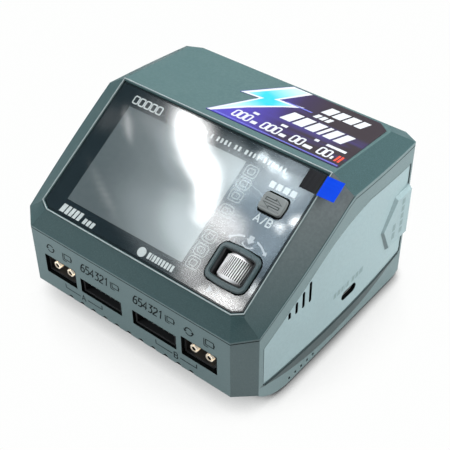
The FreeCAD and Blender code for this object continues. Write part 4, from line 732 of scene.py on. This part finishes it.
def pin_tips():
    """Bright split tips of the four output pins, standing just behind the front wall, with a painted glow added."""
    verts, faces = [], []
    for socket in (-35.2, 35.2):
        for side in (-3.6, 3.6):
            for quarter in range(4):
                start = len(verts)
                steps = 8
                for depth in (-1.3, -2.65):
                    for radius in (1.75, 1.0):
                        for x, z in arc(0, 0, radius, quarter * 90 + 9, quarter * 90 + 81, steps):
                            chamfer = 0.12 if depth > -2 and radius > 1.5 else 0.0
                            verts.append(on_front(socket + side + x * (1 - chamfer / 3), 22.7 + z * (1 - chamfer / 3),
                                                  depth - chamfer))
                count = steps + 1
                outer_front, inner_front, outer_back, inner_back = (start + count * k for k in range(4))
                for i in range(steps):
                    faces.append([outer_front + i, outer_front + i + 1, inner_front + i + 1, inner_front + i])
                    faces.append([outer_front + i + 1, outer_front + i, outer_back + i, outer_back + i + 1])
                    faces.append([inner_front + i, inner_front + i + 1, inner_back + i + 1, inner_back + i])
                for i in (0, steps):
                    faces.append([outer_front + i, inner_front + i, inner_back + i, outer_back + i])
    # painted glow: the tips emit a little light
    look = metal("look_tips", (1.0, 0.90, 0.74), 0.25, (600, 60, 600), 0.003, 0.08, glow=0.45)
    return new_object("pin_tips", verts, faces, "charger", look)


socket_shade()
pin_tips()

# ------------------------------------------------------------------ right and left sides


def side_x(y):
    """Half width of the bulged case at a place along it."""
    start, end = FRONT_Y + 6.7, BACK_Y - 3.5
    half, middle = (end - start) / 2, (end + start) / 2
    radius = (half ** 2 + BULGE ** 2) / (2 * BULGE)
    return SIDE_HALF + BULGE - radius + math.sqrt(radius ** 2 - (y - middle) ** 2)


def side_marks(name, side, shapes, look, proud=0.03):
    """Flat marks wrapped on one bulged side: points are (along the case, height)."""
    verts, faces = [], []
    for index, shape in enumerate(shapes):
        start = len(verts)
        verts += [Vector((side * (side_x(y) + proud + 0.002 * (index % 6)), y, z)) * MM for y, z in shape]
        faces.append(list(range(start, start + len(shape))))
    return new_object(name, verts, faces, "charger", look)


def fine_points(points, step=3.0, closed=True):
    """Split long stretches of an outline so that it follows the bulge."""
    fine = []
    ends = points[1:] + points[:1] if closed else points[1:]
    for a, b in zip(points, ends):
        a, b = Vector(a), Vector(b)
        count = max(1, int((b - a).length / step))
        fine += [a + (b - a) * i / count for i in range(count)]
    return fine if closed else fine + [Vector(points[-1])]


TRIM = [(-44.0, 14.5), (48.0, 14.5), (48.0, 58.9), (17.0, 62.1), (9.4, 61.2), (2.5, 59.8), (-5.2, 57.1), (-12.0, 53.6),
        (-44.0, 33.5)]
USB_Y, USB_Z = 7.3, 22.8


def stadium(width, height, steps=8):
    r = height / 2
    return (arc(USB_Y + width / 2 - r, USB_Z, r, -90, 90, steps) + arc(USB_Y - width / 2 + r, USB_Z, r, 90, 270, steps))


def stadium_bands(name, rings, look):
    """Surface through stadium rings round the USB port: (width, height, distance across the case)."""
    verts, faces = [], []
    for width, height, x in rings:
        verts += [Vector((x, y, z)) * MM for y, z in stadium(width, height)]
    count = len(verts) // len(rings)
    for k in range(len(rings) - 1):
        for i in range(count):
            j = (i + 1) % count
            faces.append([k * count + i, k * count + j, (k + 1) * count + j, (k + 1) * count + i])
    return new_object(name, verts, faces, "charger", look)


def slot_shade(name, side):
    """Walls inside the four cooling slots of one side, painted black as shade."""
    verts, faces = [], []
    for index in range(4):
        y, tall = -31.0 + 3.85 * index, 3.3 + 2.2 * index
        outline = rounded(y + 0.03, 37.33, y + 1.42, 37.27 + tall, 0.67, 4)
        start, count = len(verts), len(outline)
        for depth in (-0.36, -0.42, -4.0):
            verts += [Vector((side * (side_x(u) + depth), u, v)) * MM for u, v in outline]
        for k in range(2):
            for i in range(count):
                j = (i + 1) % count
                a = start + k * count
                faces.append([a + i, a + j, a + count + j, a + count + i])
    return new_object(name, verts, faces, "charger", SHADE_BLACK)


def side_details():
    shade = plastic("look_shade", (0.016, 0.028, 0.030), 0.6, edge=0.0, spec=0.2)
    for name, side in (("left", -1), ("right", 1)):
        edge = stroke(fine_points(TRIM), 0.24, closed=True)
        side_marks(f"trim_outline_{name}", side, edge, shade)
        slot_shade(f"slot_shade_{name}", side)
        below = [(y, 13.75) for y in range(-43, 48, 3)]
        side_marks(f"trim_shade_{name}", side, stroke(below, 1.1), shade, -0.02)
    port = side_x(USB_Y) - 0.28
    # painted shade: black bands in the mouth and throat of the USB port
    stadium_bands("usb_mouth_shade", [(9.75, 4.05, port + 0.04), (9.5, 3.8, port - 0.1), (9.46, 3.76, 56.6)], SHADE_BLACK)
    # the USB ring carries a painted glow
    stadium_bands("usb_ring", [(9.04, 3.3, 56.9), (8.96, 3.22, 57.28), (8.46, 2.72, 57.28), (8.4, 2.66, 56.9)],
                  metal("look_usb_ring", (0.8, 0.8, 0.8), 0.25, (700, 700, 90), 0.003, 0.06, glow=0.25))
    stadium_bands("usb_throat_shade", [(8.36, 2.62, 57.2), (8.36, 2.62, 51.0)], SHADE_BLACK)
    bars = row_of_bars(-3.4, 26.6, (1.7, 1.9, 1.5, 0.5, 1.7), 2.5, 0.7, 0.12)
    bars += row_of_bars(8.6, 26.6, (2.0, 1.9, 2.6), 2.5, 0.7, 0.12)
    side_marks("side_lettering_bars", 1, bars, ENGRAVED, -0.27)
    pad = [slanted(y, z, 2.1, height, 0.0) for y, z, height in
           ((36.2, 29.0, 3.2), (36.2, 33.2, 3.2), (41.6, 29.0, 2.6), (41.6, 32.6, 2.6), (41.6, 36.2, 2.6),
            (41.6, 39.8, 2.6), (41.6, 43.4, 2.6))]
    verts, faces = [], []
    for shape in pad:
        faces.append(list(range(len(verts), len(verts) + 4)))
        verts += [Vector((58.94, y, z)) * MM for y, z in shape]
    new_object("pad_lettering_bars", verts, faces, "charger", ENGRAVED)

side_details()

# ------------------------------------------------------------------ panel


def panel_plate(name, x0, s0, x1, s1, n, look, step=2.0):
    """Flat plate in the panel's frame, cut into a grid."""
    nx, ns = max(1, int((x1 - x0) / step)), max(1, int((s1 - s0) / step))
    verts = [on_panel(x0 + (x1 - x0) * i / nx, s0 + (s1 - s0) * j / ns, n) for j in range(ns + 1)
             for i in range(nx + 1)]
    faces = [[j * (nx + 1) + i, j * (nx + 1) + i + 1, (j + 1) * (nx + 1) + i + 1, (j + 1) * (nx + 1) + i]
             for j in range(ns) for i in range(nx)]
    return new_object(name, verts, faces, "charger", look)


panel_plate("display_window", -40.0, 6.6, 17.8, 50.1, GLASS_TOP + 0.03, display_face())

BUTTON_X = (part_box("port_button")[0].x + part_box("port_button")[1].x) / 2 / MM
WHEEL_X = joints["wheel_spin"]["pos_m"][0] / MM
BUTTON_S = 40.0


def panel_marks():
    shapes = []
    for i in range(5):
        shapes += stroke(rounded(-40.0 + 3.0 * i, 51.9, -37.7 + 3.0 * i, 55.0, 0.5, 3), 0.55, closed=True)
    x = -17.0
    for width in (1.6, 1.6, 0.7, 1.6, 1.6, 0.7, 2.2, 1.4, 0.7, 1.2, 0.7, 1.4, 1.4, 1.4, 1.2, 0.7, 1.4, 1.4, 0.7, 1.6,
                  1.3, 1.3, 1.3, 0.7, 1.6, 1.3, 1.3, 1.3, 1.3, 1.3):
        if width > 0.7:
            shapes.append([(x, 52.3), (x + width - 0.45, 52.3), (x + width - 0.45, 54.2), (x, 54.2)])
        x += width + 0.45
    shapes += row_of_bars(-40.4, 1.1, (2.2, 1.6, 1.6, 1.6, 1.6), 3.5)
    shapes += row_of_bars(-28.2, 1.1, (1.5, 1.5, 1.5), 2.3)
    shapes.append(disc(1.4, 2.9, 1.9))
    shapes += row_of_bars(4.3, 1.7, (1.2, 0.5, 1.1, 1.1, 0.9, 1.1, 1.1, 0.9, 1.1), 2.5, 0.4, 0.0)
    shapes += row_of_bars(BUTTON_X - 6.0, 45.4, (2.3, 2.3, 2.3, 2.3), 2.5, 0.75, 0.0)
    for i, char in enumerate("A/B"):
        shapes += glyph(char, BUTTON_X - 4.0 + (0, 3.2, 5.2)[i], 32.0, 2.9, 0.6, 0.0, 1.1)
    return shapes


def arrow(points, width, head):
    shapes = stroke(points, width)
    tip, back = Vector(points[-1]), Vector(points[-2])
    way = (tip - back).normalized()
    side = Vector((-way.y, way.x))
    shapes.append([tip + way * head, tip + side * head * 0.8, tip - side * head * 0.8])
    return shapes


def wheel_marks():
    shapes = arrow([(WHEEL_X - 2.6, 25.6), (WHEEL_X - 5.0, 25.0), (WHEEL_X - 7.4, 23.4)], 0.7, 1.4)
    shapes += arrow([(WHEEL_X + 2.7, 25.7), (WHEEL_X + 5.0, 24.8), (WHEEL_X + 7.2, 23.3)], 0.7, 1.4)
    shapes.append([(WHEEL_X - 1.0, 26.8), (WHEEL_X + 1.0, 26.8), (WHEEL_X + 1.0, 25.2), (WHEEL_X - 1.0, 25.2)])
    shapes.append([(WHEEL_X - 1.9, 25.3), (WHEEL_X + 1.9, 25.3), (WHEEL_X, 23.6)])
    shapes += stroke(arc(WHEEL_X, 25.0, 2.9, 215, 325, 10), 0.6)
    shapes.append([(WHEEL_X - 4.3, 1.7), (WHEEL_X - 1.9, 3.2), (WHEEL_X - 4.3, 4.7)])
    shapes += stroke([(WHEEL_X - 0.6, 1.4), (WHEEL_X + 0.4, 5.0)], 0.4)
    return shapes


def column_marks():
    shapes = []
    for centre in (47.5, 42.3, 37.0, 30.6, 19.6, 13.9, 8.6):
        low, high = centre - 2.2, centre + 2.2
        shapes += stroke(rounded(19.2, low, 24.4, high, 1.2, 4), 0.3, closed=True)
        shapes += stroke(rounded(20.4, low + 1.1, 23.2, high - 1.1, 0.7, 3), 0.3, closed=True)
    return shapes


ABOVE_FILM = 0.1
decal("panel_marks", on_panel, panel_marks(), INK_LIGHT, GLASS_TOP + 0.05)
decal("panel_wheel_marks", on_panel, wheel_marks(), INK_WHITE, GLASS_TOP + 0.05)
decal("panel_column", on_panel, column_marks(), INK_FAINT, GLASS_TOP + 0.05)


def bead(name, outline, profile, look, body="charger"):
    """Band round an outline of the panel, for painted highlight and painted shade: profile of (outwards, height) pairs.
    """
    verts, faces, count = [], [], len(profile)
    for margin, height in profile:
        verts += [on_panel(x, s, height) for x, s in offset_outline(outline, margin)]
    ring = len(outline)
    for k in range(count - 1):
        for i in range(ring):
            j = (i + 1) % ring
            faces.append([k * ring + i, k * ring + j, (k + 1) * ring + j, (k + 1) * ring + i])
    return new_object(name, verts, faces, body, look)


GLASS_HALF = glass_high.x / MM
GLASS_LONG = (Vector((0, glass_high.y, glass_high.z)) - PANEL_ORIGIN).dot(UP_SLOPE) / MM
GLASS_OUTLINE = [(-GLASS_HALF + 3.6, 0), (GLASS_HALF - 3.6, 0), (GLASS_HALF, 2.1), (GLASS_HALF, GLASS_LONG),
                 (-GLASS_HALF, GLASS_LONG), (-GLASS_HALF, 2.1)]
# painted highlight: a light strip laid on the rim round the glass
bead("rim_highlight", GLASS_OUTLINE, [(0.60, 0.33), (0.66, 0.40), (0.80, 0.43), (0.96, 0.40), (1.05, 0.30)],
     plastic("look_rim_highlight", (0.25, 0.285, 0.29), 0.3, grain=0.01, edge=0.0))
bead("glass_shadow", GLASS_OUTLINE, [(0.02, -0.30), (0.33, -0.30)], SHADE_BLACK)


def shade_line(name, centre, width, height, bow, corner, inner, outer):
    """Line of painted shade around something set into the panel; a positive bow swells the upper and lower edges, a
    negative one the sides."""
    outline = []
    for u, v in rounded(-width / 2, -height / 2, width / 2, height / 2, corner, 6):
        if bow > 0:
            v += math.copysign(bow * (1 - (2 * u / width) ** 2), v)
        else:
            u -= math.copysign(bow * (1 - (2 * v / height) ** 2), u)
        outline.append((centre[0] + u, centre[1] + v))
    bead(name, outline, [(inner, 0.115), (outer, 0.115)], SHADE_BLACK)


shade_line("button_shade_line", (BUTTON_X, BUTTON_S), 9.0, 6.9, -0.45, 1.1, -0.2, 0.95)
shade_line("wheel_shade_line", (WHEEL_X, 13.7), 17.8, 13.7, 0.95, 2.8, -0.1, 0.65)


def film_corner():
    """Dark adhesive patch under the corner of the film."""
    look = Look("look_adhesive")
    stripes = look.noise(1.0, 3.0, 0.6, vector=look.stretch(800, 60, 60))
    base = look.mix(stripes, (0.002, 0.002, 0.003), (0.022, 0.023, 0.026))
    look.surface(Base_Color=base, Roughness=0.6, Specular_IOR_Level=0.25, Normal=look.bump(stripes, 0.05 * MM, 0.7))
    return panel_plate("film_adhesive", 41.2, 50.0, 48.0, 57.8, ABOVE_FILM + 0.03, look.mat)


film_corner()


def pull_tab():
    """Blue pull tab: lies on the film, climbs over the rim and lifts a little at its free end."""
    x0, x1, s0, s1 = 48.9, 56.3, 49.8, 57.7
    nx, ns = 26, 12
    thick = 0.12

    def height(x, s):
        over_rim = 0.45 + 0.15 * min(1.0, max(0.0, (x - 48.9) / 1.2))
        lift = 0.055 * max(0.0, x - 50.0) ** 1.6
        wave = 0.05 * math.sin((s - s0) * 0.5 + x * 0.6) * min(1.0, max(0.0, (x - 48) / 4))
        return over_rim + lift * 0.45 + wave

    verts, faces = [], []
    for side in (0, 1):
        for j in range(ns + 1):
            for i in range(nx + 1):
                x, s = x0 + (x1 - x0) * i / nx, s0 + (s1 - s0) * j / ns
                verts.append(on_panel(x, s, height(x, s) + side * thick))
    layer = (nx + 1) * (ns + 1)
    for j in range(ns):
        for i in range(nx):
            a = j * (nx + 1) + i
            quad = [a, a + 1, a + nx + 2, a + nx + 1]
            faces.append(quad[::-1])
            faces.append([q + layer for q in quad])
    rim = [i for i in range(nx + 1)] + [(j + 1) * (nx + 1) - 1 for j in range(1, ns + 1)]
    rim += [ns * (nx + 1) + i for i in range(nx - 1, -1, -1)] + [j * (nx + 1) for j in range(ns - 1, 0, -1)]
    for a, b in zip(rim, rim[1:] + rim[:1]):
        faces.append([a, b, b + layer, a + layer])
    tab = new_object("pull_tab", verts, faces, "charger", LOOKS["tab"], smooth=False)
    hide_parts("film_pull_tab")


pull_tab()

# ------------------------------------------------------------------ button


def button_marks():
    shapes = []
    for side in (1, -1):
        cy = BUTTON_S + 0.95 * side
        line = [(-3.3, 0.45), (1.0, 0.45), (0.6, 1.15), (3.6, -0.45), (-3.3, -0.45)]
        points = [(BUTTON_X + u * side, cy + v * side) for u, v in line]
        shapes += stroke(points, 0.26, closed=True)
    for i in range(13):
        x = BUTTON_X - 3.6 + 0.6 * i
        shapes += stroke([(x, BUTTON_S - 2.7), (x + 0.3, BUTTON_S - 2.1)], 0.1)
    return shapes


decal("button_marks", on_button, button_marks(), INK_DARK, 0.015, "button")

# ------------------------------------------------------------------ top label


BOLT = [(3.2, 40.0), (-9.6, 22.3), (-1.2, 23.1), (-10.7, 2.8), (-9.0, 2.9), (0, 14), (10, 24), (16.5, 29), (5.3, 27.4),
        (12.6, 39.9)]
CORE = [(4.6, 39.2), (-6.8, 23.6), (0.4, 24.4), (-8.3, 5.4), (-1.0, 14.8), (8.6, 24.0), (12.0, 27.0), (3.6, 26.2),
        (10.6, 39.2)]


def label_marks():
    shapes = row_of_bars(22.6, 30.6, (4.0, 4.0, 4.0, 3.2), 5.6, 0.9, 0.28)
    shapes += row_of_bars(22.2, 25.8, (1.9, 1.9, 1.9), 3.0, 0.7, 0.28)
    shapes += row_of_bars(13.4, 16.4, (4.8, 4.4, 4.2, 1.6, 3.6, 3.6), 7.2, 1.1, 0.28)
    for x, count in ((-1.2, 3), (12.2, 3), (25.6, 2), (37.6, 2)):
        for i in range(count):
            shapes += stroke(rounded(x + 2.7 * i, 5.6, x + 2.0 + 2.7 * i, 10.2, 0.7, 3), 0.75, closed=True)
    for x, width in ((7.4, 2.6), (20.6, 2.6), (31.4, 3.6), (43.2, 1.0)):
        shapes.append(slanted(x, 5.6, width, 2.0, 0.0))
    for x, width in ((4.2, 2.6), (17.2, 2.8), (32.4, 1.8), (37.6, 8.4)):
        shapes.append(slanted(x, 11.9, width, 1.5, 0.0))
    return shapes


decal("label_bolt_edge", on_top, [BOLT], INK_WHITE, LABEL_THICK + 0.02)
decal("label_bolt", on_top, [CORE], bolt_face(), LABEL_THICK + 0.04)
decal("label_marks", on_top, label_marks(), INK_WHITE, LABEL_THICK + 0.05)
decal("label_slashes", on_top, [slanted(45.2, 5.2, 0.9, 4.4, 0.0), slanted(46.6, 5.2, 0.9, 4.4, 0.0)], INK_RED,
      LABEL_THICK + 0.05)
decal("label_line", on_top, [slanted(-7.5, 3.2, 55.8, 0.55, 0.0)] + [slanted(8.0, 27.7, 12.0, 0.7, 1.0)], INK_SKY,
      LABEL_THICK + 0.03)

# ------------------------------------------------------------------ stage, light and camera


def stage_floor():
    """Pale table top: white to the eye with a soft contact shadow, greyer for the light it throws back."""
    look = Look("look_floor")
    tint = look.noise(3.0, 2.0)
    seen = look.node("ShaderNodeAmbientOcclusion", Distance=0.05)
    seen.samples = 12
    open_sky = look.math("POWER", look.ramp(seen.outputs["AO"], 0.04, 0.66), 0.7)
    shade = look.mix(open_sky, (0.10, 0.11, 0.115), (0.99, 0.995, 0.99))
    close = look.node("ShaderNodeAmbientOcclusion", Distance=0.007)
    close.samples = 12
    shade = look.mix(look.ramp(close.outputs["AO"], 0.40, 0.80), (0.045, 0.05, 0.052), shade)
    shade = look.mix(look.math("MULTIPLY", tint, 0.02), shade, (0.9, 0.9, 0.9))
    shown = look.node("ShaderNodeEmission", Strength=1.0)
    look.tree.links.new(shade, shown.inputs["Color"])
    plain = look.node("ShaderNodeBsdfDiffuse", Color=(0.34, 0.34, 0.34, 1.0))
    rays = look.node("ShaderNodeLightPath")
    mixed = look.node("ShaderNodeMixShader")
    look.tree.links.new(rays.outputs["Is Camera Ray"], mixed.inputs[0])
    look.tree.links.new(plain.outputs[0], mixed.inputs[1])
    look.tree.links.new(shown.outputs[0], mixed.inputs[2])
    look.finish(mixed.outputs[0])
    size = 3.0
    floor = new_object("floor", [(-size, -size, 0), (size, -size, 0), (size, size, 0), (-size, size, 0)],
                       [[0, 1, 2, 3]], None, look.mat)


stage_floor()

CAMERA_RIGHT = Vector((0.77619, 0.63044, -0.00861))
CAMERA_BACK = Vector((0.48352, -0.58642, 0.64986))
CAMERA_UP = CAMERA_BACK.cross(CAMERA_RIGHT)
CAMERA_EYE = Vector((0.19275, -0.22866, 0.28533))


def add_camera():
    data = bpy.data.cameras.new("camera")
    data.sensor_width = 36.0
    data.lens = 78.64
    data.clip_start = 0.01
    camera = bpy.data.objects.new("camera", data)
    camera.matrix_world = Matrix((
        (CAMERA_RIGHT.x, CAMERA_UP.x, CAMERA_BACK.x, CAMERA_EYE.x),
        (CAMERA_RIGHT.y, CAMERA_UP.y, CAMERA_BACK.y, CAMERA_EYE.y),
        (CAMERA_RIGHT.z, CAMERA_UP.z, CAMERA_BACK.z, CAMERA_EYE.z),
        (0, 0, 0, 1),
    ))
    bpy.context.scene.collection.objects.link(camera)
    bpy.context.scene.camera = camera


add_camera()


def area_light(name, place, target, width, height, power, color=(1, 1, 1)):
    data = bpy.data.lights.new(name, "AREA")
    data.shape = "RECTANGLE"
    data.size, data.size_y = width, height
    data.energy = power
    data.color = color
    lamp = bpy.data.objects.new(name, data)
    lamp.location = place
    aim = Vector(target) - Vector(place)
    lamp.rotation_euler = aim.to_track_quat("-Z", "Y").to_euler()
    bpy.context.scene.collection.objects.link(lamp)
    return lamp


area_light("light_right", (0.70, 0.58, 0.58), (0, 0, 0.03), 0.7, 0.6, 27.0, (1.0, 0.99, 0.985)).visible_glossy = False
area_light("light_top", (-0.45, 0.70, 0.75), (0, 0, 0.03), 0.9, 0.7, 22.0, (0.97, 0.99, 1.0)).visible_glossy = False
area_light("light_front", (-0.42, -0.50, 0.30), (0, 0, 0.03), 0.5, 0.4, 6.2, (0.97, 0.99, 1.0)).visible_glossy = False


def add_world():
    world = bpy.data.worlds.new("studio")
    bpy.context.scene.world = world
    world.use_nodes = True
    tree = world.node_tree
    tree.nodes.clear()
    out = tree.nodes.new("ShaderNodeOutputWorld")
    background = tree.nodes.new("ShaderNodeBackground")
    coords = tree.nodes.new("ShaderNodeTexCoord")
    split = tree.nodes.new("ShaderNodeSeparateXYZ")
    ramp = tree.nodes.new("ShaderNodeMapRange")
    ramp.inputs["From Min"].default_value = -0.1
    ramp.inputs["From Max"].default_value = 0.9
    ramp.inputs["To Min"].default_value = 0.32
    ramp.inputs["To Max"].default_value = 0.34
    tree.links.new(coords.outputs["Generated"], split.inputs[0])
    tree.links.new(split.outputs["Z"], ramp.inputs["Value"])
    rays = tree.nodes.new("ShaderNodeLightPath")
    seen = tree.nodes.new("ShaderNodeMath")
    seen.operation = "MAXIMUM"
    tree.links.new(ramp.outputs["Result"], seen.inputs[0])
    tree.links.new(rays.outputs["Is Camera Ray"], seen.inputs[1])
    tree.links.new(seen.outputs[0], background.inputs["Strength"])
    background.inputs["Color"].default_value = (1.0, 1.0, 1.0, 1.0)
    tree.links.new(background.outputs[0], out.inputs["Surface"])


add_world()


def mirrored_in_panel(point):
    away = (point - PANEL_ORIGIN).dot(PANEL_OUT)
    return point - PANEL_OUT * 2 * away


# soft bright areas as they lie in the panel's reflection: across, up the slope, two radii, lean, brightness, tint
WARM, COOL, BLUE, EVEN = (1.0, 0.955, 0.94), (0.90, 0.97, 1.0), (0.70, 0.86, 1.0), (1.0, 1.0, 1.0)
GLOWS = [
    (-9, 54, 9, 4.5, -10, 0.75, WARM),
    (-4, 45.5, 17, 5.4, -36, 1.7, EVEN),
    (10.5, 34, 11, 4.4, -62, 1.5, EVEN),
    (-24, 54, 11, 8, 0, 0.05, WARM),
    (14, 46, 11, 7, -36, 0.30, COOL),
    (11, 19, 15, 8, -32, 0.30, COOL),
    (-2, 13, 24, 8, -22, 0.10, COOL),
    (-14, 33, 24, 10, -36, 0.05, COOL),
    (-12, 41, 13, 4, -36, 0.13, COOL),
    (-24, 46, 11, 4, -20, 0.05, EVEN),
    (-35, 43, 7, 1.6, -42, 0.30, WARM),
    (-46, 42, 7, 5.5, 0, 0.025, WARM),
    (-28, 15.5, 13, 0.9, -31, 0.10, WARM),
    (-22, 13, 8, 0.6, -30, 0.07, WARM),
    (25, 26, 9, 5.5, -12, 0.50, WARM),
    (22.5, 12, 6, 12, 0, 0.20, WARM),
    (36, 40, 19, 17, 0, 0.24, BLUE),
    (43, 21, 8, 10, 0, 0.15, BLUE),
    (34, 49, 12, 8, 0, 0.26, COOL),
    (22.5, 40, 3.5, 16, 0, 0.08, COOL),
    (23, 54, 2.4, 1.4, -30, 1.0, COOL),
    (28.5, 52.5, 2.4, 1.6, -35, 1.0, COOL),
    (34, 51, 2.8, 1.4, -30, 0.8, COOL),
    (43.5, 33.8, 2.4, 1.2, -18, 1.0, EVEN),
    (47.6, 38.2, 1.8, 2.0, -20, 1.2, EVEN),
    (47.5, 10, 1.8, 2.6, 0, 0.7, EVEN),
    (40, 2.6, 9.0, 3.6, 6, 0.72, WARM),
    (27, 4.5, 7, 5, 0, 0.14, WARM),
    (31, 1.0, 3, 2, 0, 0.3, WARM),
]


def reflector_card():
    """Studio card seen only in reflections: its glow is laid out as it appears mirrored in the panel."""
    eye = mirrored_in_panel(CAMERA_EYE)
    centre = on_panel(0, 30)
    away = (centre - eye).normalized()
    plane_point = centre + away * 0.55
    plane_normal = -away
    nx, ns = 90, 70
    verts, faces, colors = [], [], []
    for j in range(ns + 1):
        for i in range(nx + 1):
            x, s = -75 + 150 * i / nx, -25 + 115 * j / ns
            ray = on_panel(x, s) - eye
            share = (plane_point - eye).dot(plane_normal) / ray.dot(plane_normal)
            verts.append(eye + ray * share)
            total = Vector((0.06, 0.09, 0.11))
            for gx, gs, rx, rs, lean, strength, tint in GLOWS:
                turn = math.radians(lean)
                u = ((x - gx) * math.cos(turn) + (s - gs) * math.sin(turn)) / rx
                v = (-(x - gx) * math.sin(turn) + (s - gs) * math.cos(turn)) / rs
                total += Vector(tint) * strength / FILM_SHARE * math.exp(-(u * u + v * v) ** 1.5)
            colors.append(total)
    for j in range(ns):
        for i in range(nx):
            a = j * (nx + 1) + i
            faces.append([a, a + 1, a + nx + 2, a + nx + 1])
    look = Look("look_card")
    shade = look.node("ShaderNodeAttribute")
    shade.attribute_name = "glow"
    light = look.node("ShaderNodeEmission", Strength=1.0)
    look.tree.links.new(shade.outputs["Color"], light.inputs["Color"])
    look.finish(light.outputs[0])
    card = new_object("reflector_card", verts, faces, None, look.mat)
    layer = card.data.attributes.new("glow", "FLOAT_COLOR", "POINT")
    for item, total in zip(layer.data, colors):
        item.color = (*total, 1.0)
    card.visible_camera = False
    card.visible_diffuse = False
    card.visible_shadow = False
    card.visible_transmission = False


reflector_card()

bpy.context.scene.view_settings.view_transform = "Standard"
